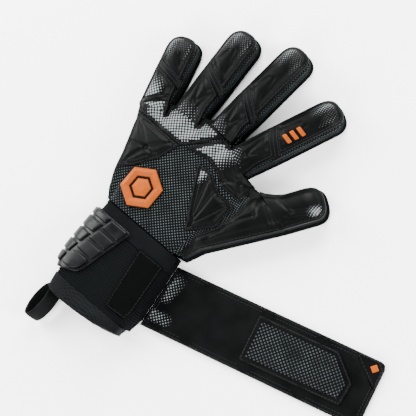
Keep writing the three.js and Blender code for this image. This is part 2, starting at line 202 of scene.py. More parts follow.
def newGroup(name, inputs, outputs):
    group = bpy.data.node_groups.new(name, "ShaderNodeTree")
    for socketName, kind, value in inputs:
        socket = group.interface.new_socket(socketName, in_out="INPUT", socket_type=kind)
        if value is not None:
            socket.default_value = value
    for socketName, kind in outputs:
        group.interface.new_socket(socketName, in_out="OUTPUT", socket_type=kind)
    return group, group.nodes.new("NodeGroupInput").outputs, group.nodes.new("NodeGroupOutput").inputs


def dotScreenGroup():
    # round dots on a staggered grid, whose size follows a value from 0 to 1
    tree, source, result = newGroup(
        "dotScreen",
        [("Vector", "NodeSocketVector", None), ("Pitch", "NodeSocketFloat", 2.6),
         ("Size", "NodeSocketFloat", 0.5)],
        [("Mask", "NodeSocketFloat"), ("Height", "NodeSocketFloat")],
    )
    cell = addNode(tree, "ShaderNodeCombineXYZ", {"X": source["Pitch"], "Y": source["Pitch"]}, {"Z": 1.0})
    flat = vectorMath(tree, "MULTIPLY", source["Vector"], (1, 1, 0)).outputs[0]
    scaled = vectorMath(tree, "DIVIDE", flat, cell.outputs[0]).outputs[0]
    distances = []
    for shift in ((0, 0, 0), (0.5, 0.5, 0)):
        moved = vectorMath(tree, "ADD", scaled, shift).outputs[0]
        part = vectorMath(tree, "FRACTION", moved, None).outputs[0]
        centred = vectorMath(tree, "SUBTRACT", part, (0.5, 0.5, 0)).outputs[0]
        distances.append(vectorMath(tree, "LENGTH", centred, None).outputs["Value"])
    nearest = calculate(tree, "MINIMUM", distances[0], distances[1])
    radius = calculate(tree, "MULTIPLY", source["Size"], 0.42)
    inner, outer = calculate(tree, "SUBTRACT", radius, 0.07), calculate(tree, "ADD", radius, 0.03)
    mask = remap(tree, nearest, inner, outer, 1.0, 0.0)
    shown = calculate(tree, "GREATER_THAN", source["Size"], 0.12)
    tree.links.new(calculate(tree, "MULTIPLY", mask, shown), result["Mask"])
    slope = calculate(tree, "MULTIPLY", nearest, 2.0)
    tree.links.new(calculate(tree, "SUBTRACT", 1.0, slope), result["Height"])
    return tree


def grainGroup():
    # fine pebbled grain with a slow change of tone over it
    tree, source, result = newGroup(
        "fineGrain",
        [("Vector", "NodeSocketVector", None), ("Scale", "NodeSocketFloat", 2.0),
         ("Patch", "NodeSocketFloat", 0.06)],
        [("Height", "NodeSocketFloat"), ("Tone", "NodeSocketFloat")],
    )
    fine = addNode(tree, "ShaderNodeTexNoise", {"Vector": source["Vector"], "Scale": source["Scale"]},
                   {"Detail": 4.0, "Roughness": 0.6})
    pebble = addNode(tree, "ShaderNodeTexVoronoi", {"Vector": source["Vector"], "Scale": source["Scale"]})
    slow = addNode(tree, "ShaderNodeTexNoise", {"Vector": source["Vector"], "Scale": source["Patch"]},
                   {"Detail": 3.0})
    pebbles = calculate(tree, "MULTIPLY", pebble.outputs["Distance"], 0.6)
    tree.links.new(calculate(tree, "ADD", fine.outputs[0], pebbles), result["Height"])
    tree.links.new(slow.outputs[0], result["Tone"])
    return tree


def knitGroup():
    # crossed yarns: one wave along each direction, staggered by the other
    tree, source, result = newGroup(
        "knitYarns",
        [("Vector", "NodeSocketVector", None), ("Across", "NodeSocketFloat", 1.0),
         ("Along", "NodeSocketFloat", 1.0)],
        [("Height", "NodeSocketFloat")],
    )
    parts = addNode(tree, "ShaderNodeSeparateXYZ", {"Vector": source["Vector"]})
    waves = []
    for axis, pitch in (("X", "Across"), ("Y", "Along")):
        turns = calculate(tree, "DIVIDE", parts.outputs[axis], source[pitch])
        waves.append(calculate(tree, "SINE", calculate(tree, "MULTIPLY", turns, 2 * math.pi), None))
    crossed = calculate(tree, "MULTIPLY", waves[0], waves[1])
    tree.links.new(remap(tree, crossed, -1.0, 1.0), result["Height"])
    return tree


def wearGroup():
    # rubbed corners and dust: a mask of high places broken up by noise
    tree, source, result = newGroup(
        "rubbedEdges",
        [("Vector", "NodeSocketVector", None), ("Scale", "NodeSocketFloat", 0.5),
         ("Amount", "NodeSocketFloat", 0.4)],
        [("Mask", "NodeSocketFloat")],
    )
    shape = addNode(tree, "ShaderNodeNewGeometry")
    high = remap(tree, shape.outputs["Pointiness"], 0.50, 0.60)
    noise = addNode(tree, "ShaderNodeTexNoise", {"Vector": source["Vector"], "Scale": source["Scale"]},
                    {"Detail": 5.0})
    broken = remap(tree, noise.outputs[0], 0.42, 0.66)
    both = calculate(tree, "MULTIPLY", high, broken)
    tree.links.new(calculate(tree, "MULTIPLY", both, source["Amount"]), result["Mask"])
    return tree


dotScreen, fineGrain, knitYarns, rubbedEdges = dotScreenGroup(), grainGroup(), knitGroup(), wearGroup()


def grouped(tree, group, links=None, values=None):
    return addNode(tree, "ShaderNodeGroup", links, values, node_tree=group).outputs


def newMaterial(name, roughness, fromUv=True, **settings):
    # returns the material, its tree, its shader and a vector in millimetres over the surface
    material = bpy.data.materials.new(name)
    material.use_nodes = True
    tree = material.node_tree
    shader = tree.nodes["Principled BSDF"]
    shader.inputs["Roughness"].default_value = roughness
    for key, value in settings.items():
        shader.inputs[key.replace("_", " ")].default_value = value
    if fromUv:
        place = addNode(tree, "ShaderNodeUVMap", uv_map="flat")
        spot = vectorMath(tree, "SCALE", place.outputs[0], 1 / uvScale).outputs[0]
    else:
        place = addNode(tree, "ShaderNodeTexCoord")
        spot = vectorMath(tree, "SCALE", place.outputs["Object"], 1 / mm).outputs[0]
    return material, tree, shader, spot


def bumped(tree, shader, height, distance, strength=1.0, under=None):
    links = {"Height": height}
    if under is not None:
        links["Normal"] = under
    node = addNode(tree, "ShaderNodeBump", links, {"Distance": distance * mm, "Strength": strength})
    tree.links.new(node.outputs[0], shader.inputs["Normal"])
    return node.outputs[0]


black = (0.0003, 0.0004, 0.00045, 1)
charcoal = (0.0007, 0.0009, 0.00095, 1)
silver = (0.13, 0.145, 0.145, 1)


def paddedSkin(name, roughness=0.46, printed=True, pitch=3.3):
    # soft black polyurethane over foam, with a silver dot print where the attribute says
    material, tree, shader, spot = newMaterial(name, roughness, Specular_IOR_Level=0.045)
    grain = grouped(tree, fineGrain, {"Vector": spot}, {"Scale": 1.7, "Patch": 0.05})
    base = mixColors(tree, remap(tree, grain["Tone"], 0.35, 0.7), black, charcoal)
    rough = remap(tree, grain["Tone"], 0.3, 0.7, roughness - 0.07, roughness + 0.09)
    if printed:
        ink = addNode(tree, "ShaderNodeAttribute", attribute_name="silver")
        turned = addNode(tree, "ShaderNodeMapping", {"Vector": spot})
        turned.inputs["Rotation"].default_value = (0, 0, math.radians(8))
        links = {"Vector": turned.outputs[0], "Size": ink.outputs["Fac"]}
        dots = grouped(tree, dotScreen, links, {"Pitch": pitch})
        base = mixColors(tree, dots["Mask"], base, silver)
        rough = calculate(tree, "SUBTRACT", rough, calculate(tree, "MULTIPLY", dots["Mask"], 0.08))
    tree.links.new(base, shader.inputs["Base Color"])
    tree.links.new(rough, shader.inputs["Roughness"])
    bumped(tree, shader, grain["Height"], 0.05, 0.7)
    return material


def latexFoam():
    material, tree, shader, spot = newMaterial("latexFoam", 0.78, fromUv=False, Specular_IOR_Level=0.02)
    grain = grouped(tree, fineGrain, {"Vector": spot}, {"Scale": 2.4, "Patch": 0.04})
    worn = grouped(tree, rubbedEdges, {"Vector": spot}, {"Scale": 0.6, "Amount": 0.25})
    base = mixColors(tree, remap(tree, grain["Tone"], 0.3, 0.7), black, (0.002, 0.0025, 0.0026, 1))
    base = mixColors(tree, worn["Mask"], base, (0.008, 0.009, 0.009, 1))
    tree.links.new(base, shader.inputs["Base Color"])
    tree.links.new(remap(tree, grain["Tone"], 0.3, 0.7, 0.7, 0.85), shader.inputs["Roughness"])
    bumped(tree, shader, grain["Height"], 0.09, 0.8)
    return material


def dottedMesh(name, pitch, size, dotColor, ground=black, roughness=0.8):
    # knitted mesh: dark ground, paler eyelets, fine yarns between them
    material, tree, shader, spot = newMaterial(name, roughness, Specular_IOR_Level=0.03)
    dots = grouped(tree, dotScreen, {"Vector": spot}, {"Pitch": pitch, "Size": size})
    yarns = grouped(tree, knitYarns, {"Vector": spot}, {"Across": pitch / 5, "Along": pitch / 5})
    grain = grouped(tree, fineGrain, {"Vector": spot}, {"Scale": 0.5, "Patch": 0.07})
    faded = calculate(tree, "MULTIPLY", dots["Mask"], remap(tree, grain["Tone"], 0.3, 0.65, 0.35, 1.0))
    tinted = mixColors(tree, yarns["Height"], ground, (0.0008, 0.0010, 0.0011, 1))
    tree.links.new(mixColors(tree, faded, tinted, dotColor), shader.inputs["Base Color"])
    rough = remap(tree, dots["Mask"], 0.0, 1.0, roughness, roughness - 0.25)
    tree.links.new(rough, shader.inputs["Roughness"])
    first = bumped(tree, shader, dots["Height"], 0.35, 0.8)
    bumped(tree, shader, yarns["Height"], 0.08, 0.6, first)
    return material


def ribKnit():
    material, tree, shader, spot = newMaterial("ribKnit", 0.85, Specular_IOR_Level=0.03)
    yarns = grouped(tree, knitYarns, {"Vector": spot}, {"Across": 0.9, "Along": 1.05})
    grain = grouped(tree, fineGrain, {"Vector": spot}, {"Scale": 1.2, "Patch": 0.05})
    base = mixColors(tree, yarns["Height"], (0.0005, 0.0007, 0.0008, 1), (0.0026, 0.0032, 0.0035, 1))
    tree.links.new(base, shader.inputs["Base Color"])
    tree.links.new(remap(tree, grain["Tone"], 0.3, 0.7, 0.78, 0.92), shader.inputs["Roughness"])
    bumped(tree, shader, yarns["Height"], 0.12, 0.7)
    return material


def pileFabric():
    material, tree, shader, spot = newMaterial("loopPile", 0.97, fromUv=False, Specular_IOR_Level=0.03)
    grain = grouped(tree, fineGrain, {"Vector": spot}, {"Scale": 3.5, "Patch": 0.09})
    base = mixColors(tree, grain["Height"], (0.0002, 0.0003, 0.0003, 1), (0.0007, 0.0009, 0.0009, 1))
    tree.links.new(base, shader.inputs["Base Color"])
    tree.links.new(remap(tree, grain["Tone"], 0.3, 0.7, 0.9, 1.0), shader.inputs["Roughness"])
    bumped(tree, shader, grain["Height"], 0.5, 1.0)
    return material


def mouldedRubber(name, color, highColor, roughness):
    material, tree, shader, spot = newMaterial(name, roughness, fromUv=False, Specular_IOR_Level=0.09)
    grain = grouped(tree, fineGrain, {"Vector": spot}, {"Scale": 1.1, "Patch": 0.12})
    worn = grouped(tree, rubbedEdges, {"Vector": spot}, {"Scale": 0.9, "Amount": 0.5})
    base = mixColors(tree, remap(tree, grain["Tone"], 0.3, 0.7), color, highColor)
    base = mixColors(tree, worn["Mask"], base, tuple(min(1, c * 2.2) for c in highColor[:3]) + (1,))
    tree.links.new(base, shader.inputs["Base Color"])
    rough = remap(tree, grain["Tone"], 0.3, 0.7, roughness - 0.08, roughness + 0.1)
    tree.links.new(rough, shader.inputs["Roughness"])
    bumped(tree, shader, grain["Height"], 0.04, 0.5)
    return material


def wovenTape():
    material, tree, shader, spot = newMaterial("wovenTape", 0.7, Specular_IOR_Level=0.04)
    yarns = grouped(tree, knitYarns, {"Vector": spot}, {"Across": 0.8, "Along": 1.2})
    grain = grouped(tree, fineGrain, {"Vector": spot}, {"Scale": 0.8, "Patch": 0.08})
    base = mixColors(tree, yarns["Height"], (0.0009, 0.0012, 0.0013, 1), (0.0032, 0.0038, 0.0040, 1))
    tree.links.new(base, shader.inputs["Base Color"])
    tree.links.new(remap(tree, grain["Tone"], 0.3, 0.7, 0.6, 0.8), shader.inputs["Roughness"])
    bumped(tree, shader, yarns["Height"], 0.15, 0.8)
    return material


def threadMaterial():
    material, tree, shader, spot = newMaterial("thread", 0.6, fromUv=False, Specular_IOR_Level=0.08)
    twist = addNode(tree, "ShaderNodeTexWave", {"Vector": spot}, {"Scale": 2.5}, bands_direction="DIAGONAL")
    base = mixColors(tree, twist.outputs["Fac"], (0.0014, 0.0018, 0.002, 1), (0.009, 0.0105, 0.011, 1))
    tree.links.new(base, shader.inputs["Base Color"])
    bumped(tree, shader, twist.outputs["Fac"], 0.08, 0.7)
    return material


finishes = {
    "pad": paddedSkin("paddedSkin"),
    "tipPad": paddedSkin("fingertipSkin", pitch=2.5),
    "band": paddedSkin("seamBand", 0.5, printed=False),
    "latex": latexFoam(),
    "backMesh": dottedMesh("backMesh", 3.2, 0.42, (0.045, 0.054, 0.056, 1)),
    "gusset": dottedMesh("gussetMesh", 2.5, 0.42, (0.050, 0.060, 0.062, 1)),
    "hem": dottedMesh("hemMesh", 3.2, 0.78, (0.0002, 0.0003, 0.0003, 1), (0.0065, 0.0078, 0.0082, 1)),
    "window": dottedMesh("windowMesh", 3.6, 0.5, (0.030, 0.036, 0.037, 1), roughness=0.6),
    "rib": ribKnit(),
    "pile": pileFabric(),
    "guard": mouldedRubber("guardRubber", (0.0008, 0.0010, 0.0011, 1), (0.0018, 0.0022, 0.0024, 1), 0.36),
    "orange": mouldedRubber("orangeRubber", (0.165, 0.029, 0.00005, 1), (0.205, 0.038, 0.0001, 1), 0.5),
    "tape": wovenTape(),
    "thread": threadMaterial(),
}
print("materials are ready")

# plan shapes


def points2(points):
    return np.array(points, float)


def closedLine(points):
    return np.vstack([points, points[:1]])


def resampled(line, pitch):
    # the corners stay, and each side is cut into even steps
    out = []
    for start, end in zip(line[:-1], line[1:]):
        steps = max(1, round(float(np.linalg.norm(end - start)) / pitch))
        out += [start + (end - start) * i / steps for i in range(steps)]
    return np.array(out + [line[-1]])


def roundedCorners(points, radius, steps=4):
    # each corner becomes a small curve between two places on its sides
    points = points2(points)
    out = []
    for i, corner in enumerate(points):
        before, after = points[i - 1] - corner, points[(i + 1) % len(points)] - corner
        reach = [min(radius, 0.45 * float(np.linalg.norm(side))) for side in (before, after)]
        start = corner + before / np.linalg.norm(before) * reach[0]
        end = corner + after / np.linalg.norm(after) * reach[1]
        for k in range(steps + 1):
            t = k / steps
            out.append((1 - t) ** 2 * start + 2 * t * (1 - t) * corner + t ** 2 * end)
    return np.array(out)


def outwardNormals(loop):
    # for a closed loop drawn anticlockwise, or a hole drawn clockwise
    ahead, behind = np.roll(loop, -1, 0), np.roll(loop, 1, 0)
    along = ahead - behind
    along /= np.maximum(np.linalg.norm(along, axis=1, keepdims=True), 1e-9)
    return np.column_stack([along[:, 1], -along[:, 0]])


def inset(loop, distance):
    # every side moves in by the same distance, with a limit at very sharp corners
    loop = points2(loop)
    normals = []
    for side in (np.roll(loop, -1, 0) - loop, loop - np.roll(loop, 1, 0)):
        side = side / np.maximum(np.linalg.norm(side, axis=1, keepdims=True), 1e-9)
        normals.append(np.column_stack([side[:, 1], -side[:, 0]]))
    share = np.maximum(1 + (normals[0] * normals[1]).sum(1), 0.35)
    return loop - (normals[0] + normals[1]) / share[:, None] * distance


def polygonArea(loop):
    loop = points2(loop)
    ahead = np.roll(loop, -1, 0)
    return 0.5 * abs(float((loop[:, 0] * ahead[:, 1] - loop[:, 1] * ahead[:, 0]).sum()))


def keepSide(points, origin, direction):
    # the part of a closed outline on the side that the direction points to
    points, origin, direction = points2(points), points2(origin), points2(direction)
    out = []
    side = (points - origin) @ direction
    for i, here in enumerate(points):
        j = (i + 1) % len(points)
        if side[i] >= 0:
            out.append(here)
        if side[i] * side[j] < 0:
            out.append(here + (points[j] - here) * side[i] / (side[i] - side[j]))
    return np.array(out)


def nearestGap(points, start, end):
    # the distance from each point to the nearest of many straight pieces
    along = end - start
    size = np.maximum((along ** 2).sum(1), 1e-12)
    share = np.clip(((points[:, None] - start) * along).sum(2) / size, 0, 1)
    gap = points[:, None] - (start + along * share[..., None])
    return np.sqrt((gap ** 2).sum(2)).min(1)


def distanceTo(points, lines):
    best = np.full(len(points), 1e9)
    for line in lines:
        best = np.minimum(best, nearestGap(points, line[:-1], line[1:]))
    return best


def inside(points, loop):
    x, y = points[:, 0:1], points[:, 1:2]
    x1, y1 = loop[:, 0], loop[:, 1]
    x2, y2 = np.roll(x1, -1), np.roll(y1, -1)
    spans = (y1 > y) != (y2 > y)
    slope = np.where(np.abs(y2 - y1) < 1e-12, 1e-12, y2 - y1)
    return (spans & (x < (x2 - x1) * (y - y1) / slope + x1)).sum(1) % 2 == 1


def smooth(value, low, high):
    t = np.clip((value - low) / (high - low), 0, 1)
    return t * t * (3 - 2 * t)


def edgeDrop(depth, radius):
    # how far a rounded edge lies below its flat face, at a depth in from the rim
    if radius <= 0:
        return np.zeros_like(depth)
    return radius - np.sqrt(np.maximum(radius ** 2 - (radius - np.minimum(depth, radius)) ** 2, 0))


def within(points, loops):
    # inside the outline, which comes first, and outside its holes
    keep = inside(points, loops[0])
    for hole in loops[1:]:
        keep &= ~inside(points, hole)
    return keep


def rimRows(loops, borders, depthOf, pitch, edge):
    # points just inside the rims, where a rounded edge needs them
    found = []
    for share in (0.12, 0.42, 1.0) if edge > 0 else ():
        for loop in loops:
            line = resampled(closedLine(loop), pitch * 0.9)[:-1]
            row = line - outwardNormals(line) * edge * share
            near = np.abs(depthOf(row) - edge * share) < edge * 0.1
            found += list(row[near & (distanceTo(row, borders) > edge * share * 0.9)])
    return found


def creaseRows(creases, borders, pitch, edge):
    # points along each crease and on both sides of it
    found = []
    for line, width in creases:
        middle = resampled(line, pitch)
        along = np.gradient(middle, axis=0)
        along /= np.maximum(np.linalg.norm(along, axis=1, keepdims=True), 1e-9)
        across = np.column_stack([-along[:, 1], along[:, 0]])
        for shift in (0, width * 0.7, -width * 0.7, width * 1.6, -width * 1.6):
            row = middle + across * shift
            found += list(row[distanceTo(row, borders) > max(edge, 0.6) * 0.9])
    return found


def gridPoints(loop, creases, borders, pitch, edge):
    # an even, staggered grid for the rest of the outline
    low, high = loop.min(0), loop.max(0)
    rows = np.arange(low[1], high[1], pitch * math.sqrt(3) / 2)
    columns = np.arange(low[0], high[0], pitch)
    grid = [(x + (i % 2) * pitch / 2, y) for i, y in enumerate(rows) for x in columns]
    grid = points2(grid).reshape(-1, 2)
    grid = grid[inside(grid, loop)]
    grid = grid[distanceTo(grid, borders) > max(edge * 1.3, pitch * 0.55)]
    if creases:
        clear = max(width for line, width in creases) * 1.6 + pitch * 0.4
        grid = grid[distanceTo(grid, [line for line, width in creases]) > clear]
    return grid


def planMesh(loops, depthOf, pitch, edge, creases):
    # points and triangles that fill an outline, denser along its rims and creases
    fixed, edges = [], []
    for loop in loops:
        line = resampled(closedLine(loop), pitch)[:-1]
        first = len(fixed)
        fixed += list(line)
        edges += [(first + i, first + (i + 1) % len(line)) for i in range(len(line))]
    borders = [closedLine(loop) for loop in loops]
    rows = rimRows(loops, borders, depthOf, pitch, edge) + creaseRows(creases, borders, pitch, edge)
    free = np.vstack([gridPoints(loops[0], creases, borders, pitch, edge), points2(rows).reshape(-1, 2)])
    free = free[within(free, loops)]
    coords = [Vector(point) for point in fixed + list(free)]
    found, _, triangles, *_ = delaunay_2d_cdt(coords, edges, [], 0, 1e-4)
    flat = np.array([tuple(point) for point in found])
    triangles = np.array([face for face in triangles if len(face) == 3])
    triangles = triangles[within(flat[triangles].mean(1), loops)]
    a, b, c = flat[triangles[:, 0]], flat[triangles[:, 1]], flat[triangles[:, 2]]
    turned = (b - a)[:, 0] * (c - a)[:, 1] - (b - a)[:, 1] * (c - a)[:, 0] < 0
    triangles[turned] = triangles[turned][:, ::-1]
    used, triangles = np.unique(triangles, return_inverse=True)
    return flat[used], triangles.reshape(-1, 3)


def makeMesh(name, verts, faces, uvs, material, attributes=None):
    mesh = bpy.data.meshes.new(name)
    mesh.from_pydata((np.asarray(verts) * mm).tolist(), [], faces)
    layer = mesh.uv_layers.new(name="flat")
    layer.uv.foreach_set("vector", (np.asarray(uvs) * uvScale).astype(np.float32).ravel())
    for key, values in (attributes or {}).items():
        mesh.attributes.new(key, "FLOAT", "POINT").data.foreach_set("value", np.asarray(values, np.float32))
    mesh.materials.append(material)
    mesh.polygons.foreach_set("use_smooth", np.ones(len(mesh.polygons), bool))
    mesh.update()
    piece = bpy.data.objects.new(name, mesh)
    bpy.context.scene.collection.objects.link(piece)
    return piece


def flatPlace(a, b, z):
    return np.column_stack([a, b, z])


printStart = (2.5, 3.3)  # the silver print starts at these distances in from a rim


def onCut(points, cut):
    origin, direction = cut
    return np.abs((points - points2(origin)) @ points2(direction)) < 0.02


def rimDepth(loops, cuts, pitch):
    # gives a function for the distance from the rims, which a cut side of the outline is not
    pairs = []
    for loop in loops:
        line = resampled(closedLine(loop), pitch)
        isRim = np.ones(len(line) - 1, bool)
        for cut in cuts:
            near = onCut(line, cut)
            isRim &= ~(near[:-1] & near[1:])
        pairs += [(line[i], line[i + 1]) for i in np.flatnonzero(isRim)]
    if not pairs:
        return lambda points: np.full(len(points), 99.0)
    start, end = np.array(pairs).transpose(1, 0, 2)
    return lambda points: nearestGap(points, start, end)


def borderOf(flat, triangles):
    # the sides that only one triangle has, and the outward normal at each of their points
    pairs = np.vstack([triangles[:, [0, 1]], triangles[:, [1, 2]], triangles[:, [2, 0]]]).tolist()
    seen = {tuple(pair) for pair in pairs}
    border = [pair for pair in pairs if (pair[1], pair[0]) not in seen]
    following, before = dict(border), {b: a for a, b in border}
    normals = {}
    for i in sorted(following):
        along = flat[following[i]] - flat[before[i]]
        normals[i] = np.array([along[1], -along[0]]) / max(float(np.linalg.norm(along)), 1e-9)
    return border, normals


def slab(name, outline, low, high, material, place=flatPlace, holes=(), cuts=(), pitch=1.6, edge=1.0,
         lowEdge=0.6, bulge=0.0, rows=2, creases=(), ink=None):
    # a closed layer: an outline filled between two height functions, with rounded rims.
    # cuts are straight lines where the layer goes on in another piece, so the rim isn't rounded there.
    loops = [points2(outline)] + [points2(hole) for hole in holes]
    depthOf = rimDepth(loops, cuts, pitch)

    def topOf(points):
        depth = depthOf(points)
        z = high(points, depth) - edgeDrop(depth, edge)
        for line, deep, width in creases:
            z = z - deep * np.exp(-(distanceTo(points, [points2(line)]) / width) ** 2)
        return z

    creaseLines = [(points2(line), width) for line, deep, width in creases]
    flat, triangles = planMesh(loops, depthOf, pitch, edge, creaseLines)
    depth = depthOf(flat)
    top = topOf(flat)
    bottom = low(flat, depth) + edgeDrop(depth, lowEdge)
    count = len(flat)
    border, normals = borderOf(flat, triangles)
    rim = list(normals)
    plan, heights = [flat, flat], [top, bottom]
    rowStart = {0: {v: v for v in rim}, rows + 1: {v: count + v for v in rim}}
    for k in range(1, rows + 1):
        share = k / (rows + 1)
        rowStart[k] = {v: 2 * count + (k - 1) * len(rim) + n for n, v in enumerate(rim)}
        swell = bulge * math.sin(math.pi * share)
        plan.append(np.array([flat[v] + normals[v] * swell for v in rim]))
        heights.append(np.array([top[v] + (bottom[v] - top[v]) * share for v in rim]))
    plan, heights = np.vstack(plan), np.concatenate(heights)
    faces = triangles.tolist() + (triangles[:, ::-1] + count).tolist()
    uvs = list(flat[triangles].reshape(-1, 2)) + list(flat[triangles[:, ::-1]].reshape(-1, 2))
    for a, b in border:
        for k in range(rows + 1):
            upper, lower = rowStart[k], rowStart[k + 1]
            faces.append([upper[a], lower[a], lower[b], upper[b]])
            for v, share in ((a, k), (a, k + 1), (b, k + 1), (b, k)):
                uvs.append(flat[v] + normals[v] * (top[v] - bottom[v]) * share / (rows + 1))
    marks = {}
    if ink is not None:
        printed = ink(flat) * smooth(depth, *printStart)
        marks["silver"] = np.concatenate([printed, np.zeros(len(plan) - count)])
    piece = makeMesh(name, place(plan[:, 0], plan[:, 1], heights), faces, uvs, material, marks)
    sharp = {v for cut in cuts for v in np.array(rim)[onCut(flat[rim], cut)].tolist()}
    sharp |= {count + v for v in sharp}
    for side in piece.data.edges:
        side.use_edge_sharp = side.vertices[0] in sharp and side.vertices[1] in sharp
    return piece, lambda points: place(points[:, 0], points[:, 1], topOf(points))


stitch = {"pitch": 2.9, "length": 2.0, "radius": 0.27, "sink": 0.02}


def stitchShape():
    # one stitch, modelled once: a short thread with both ends drawn down into the cloth
    bpy.ops.mesh.primitive_cylinder_add(vertices=6, radius=stitch["radius"], depth=stitch["length"],
                                        end_fill_type="NGON", rotation=(0, math.pi / 2, 0))
    piece = bpy.context.object
    bpy.ops.object.transform_apply(location=False, rotation=True, scale=False)
    bpy.ops.object.mode_set(mode="EDIT")
    bpy.ops.mesh.select_mode(type="FACE")
    bpy.ops.mesh.select_all(action="DESELECT")
    bpy.ops.object.mode_set(mode="OBJECT")
    for face in piece.data.polygons:
        face.select = abs(face.normal.x) > 0.9
    bpy.ops.object.mode_set(mode="EDIT")
    bpy.ops.mesh.inset(thickness=stitch["radius"] * 0.4, depth=stitch["radius"] * 0.5)
    bpy.ops.object.mode_set(mode="OBJECT")
    verts = np.array([tuple(v.co) for v in piece.data.vertices])
    faces = [list(face.vertices) for face in piece.data.polygons]
    bpy.data.objects.remove(piece)
    return verts, faces


stitchVerts, stitchFaces = stitchShape()


def stitchLine(surface, line, pitch=None):
    # places for stitches along a plan line: position, direction and normal
    pitch = pitch or stitch["pitch"]
    line = points2(line)
    if len(line) < 2:
        return []
    lengths = np.concatenate([[0], np.cumsum(np.linalg.norm(np.diff(line, axis=0), axis=1))])
    count = int(lengths[-1] / pitch)
    spots = (np.arange(count) + 0.5) * lengths[-1] / max(count, 1)

    def at(way):
        return np.column_stack([np.interp(way, lengths, line[:, axis]) for axis in (0, 1)])

    here, ahead = at(spots), at(np.minimum(spots + 0.3, lengths[-1]))
    behind = at(np.maximum(spots - 0.3, 0))
    across = (ahead - behind)[:, ::-1] * np.array([-1, 1])
    across /= np.maximum(np.linalg.norm(across, axis=1, keepdims=True), 1e-9)
    middle, along = surface(here), surface(ahead) - surface(behind)
    side = surface(here + across * 0.2) - surface(here - across * 0.2)
    along /= np.maximum(np.linalg.norm(along, axis=1, keepdims=True), 1e-9)
    normal = np.cross(along, side)
    normal /= np.maximum(np.linalg.norm(normal, axis=1, keepdims=True), 1e-9)
    return list(zip(middle + normal * stitch["sink"], along, normal))


def stitching(name, spots):
    verts, faces = [], []
    for middle, along, normal in spots:
        side = np.cross(normal, along)
        first = len(verts)
        verts += list(middle + stitchVerts @ np.array([along, side, normal]))
        faces += [[first + v for v in face] for face in stitchFaces]
    uvs = np.zeros((sum(len(face) for face in faces), 2))
    return makeMesh(name, verts, faces, uvs, finishes["thread"])


def shapedGrid(name, surface, across, along, material, wall, ring=False, uv=None):
    # a sheet with two sides: surface(u, v, depth) gives points, depth counted into the wall
    u, v = np.meshgrid(across, along)
    rows, cols = u.shape
    outer = surface(u.ravel(), v.ravel(), 0.0)
    inner = surface(u.ravel(), v.ravel(), wall)
    verts = np.vstack([outer, inner])
    size = rows * cols
    plan = uv(u.ravel(), v.ravel()) if uv else np.column_stack([u.ravel(), v.ravel()])
    faces, uvs = [], []

    def quad(corners):
        faces.append(corners)
        uvs.extend(plan[c % size] for c in corners)

    last = cols if ring else cols - 1
    for r in range(rows - 1):
        for c in range(last):
            d = (c + 1) % cols
            a, b, e, f = r * cols + c, r * cols + d, (r + 1) * cols + d, (r + 1) * cols + c
            quad([a, b, e, f])
            quad([size + f, size + e, size + b, size + a])
    for c in range(last):
        d = (c + 1) % cols
        top = (rows - 1) * cols
        quad([c, size + c, size + d, d])
        quad([top + d, size + top + d, size + top + c, top + c])
    if not ring:
        for r in range(rows - 1):
            a, b = r * cols, (r + 1) * cols
            quad([a, b, size + b, size + a])
            quad([b + cols - 1, a + cols - 1, size + a + cols - 1, size + b + cols - 1])
    return makeMesh(name, verts, faces, uvs, material)


# the glove's own shape

glove = {
    "latexTop": 6.5, "fingerHeight": 25.0, "padTop": 25.3, "fingerHalf": 14.5, "rootHalf": 13.7,
    "taper": 24.0, "arch": 5.6, "tipDrop": 8.5, "tipLength": 17.0, "tipDepth": 13.0, "bluntness": 0.78,
    "startBack": 7.0, "wallShown": 3.0, "padDepth": 5.6, "handPadDepth": 2.6, "puff": 1.7, "welt": 2.3,
    "dome": 27.8, "wristY": -50.0,
}
foamLayers = {  # heights, rounding of the rims, points down the wall and slot of the two foam layers
    "palm_latex": {"low": 0.0, "high": glove["latexTop"], "edge": 2.0, "lowEdge": 2.6, "rows": 2,
                   "slot": "latex"},
    "sleeve": {"low": glove["latexTop"] + 0.2, "high": 18.6, "edge": 0.5, "lowEdge": 0.5, "rows": 4,
               "slot": "mesh_knit"},
}
bends = {  # where a piece would start and end to bend, and at what height; the points worked out from these are not used
    "knuckle": (-6.5, 9.0), "joint": (3.0, 19.0), "thumb": (-8.5, 10.0), "height": 9.0,
    "wrist": (-51.0, -64.0), "wristHeight": 14.0,
}


def plane2(vector):
    return np.array([vector[0], vector[1]], float)


thumbReach = 44.0  # the thumb has no knuckle joint: its frame starts this far before its fold


def fingerFrame(name, width=2 * glove["fingerHalf"]):
    # a finger's own plan: across it and along it, from its knuckle
    near = joints[name + "_middle_fold"]
    knuckle = joints.get(name + "_knuckle")
    across = -plane2(near["axis"])
    along = np.array([-across[1], across[0]])
    origin = plane2(knuckle["pos_m"]) / mm if knuckle else plane2(near["pos_m"]) / mm - along * thumbReach
    tip = frame["nodes"][name + "_tip_palm_latex"].data.vertices
    reach = max((np.array([v.co.x, v.co.y]) / mm - origin) @ along for v in tip)
    return {"name": name, "origin": origin, "across": across, "along": along, "reach": float(reach),
            "half": width / 2}


# for each finger: distance from the middle of the joint seam to the knuckle, and the seam's slope
seams = {"little": (25.5, -0.46), "ring": (33.0, -0.5), "middle": (27.5, -0.6), "index": (29.5, -0.34)}
fingers = [dict(fingerFrame(name), seam=seams[name]) for name in ("little", "ring", "middle", "index")]
thumb = dict(fingerFrame("thumb", 30.0), seam=(31.0, 0.35))


def fingerPlan(finger, points):
    away = points2(points) - finger["origin"]
    return np.column_stack([away @ finger["across"], away @ finger["along"]])


def handPlan(finger, points):
    points = points2(points)
    return finger["origin"] + points[:, :1] * finger["across"] + points[:, 1:2] * finger["along"]


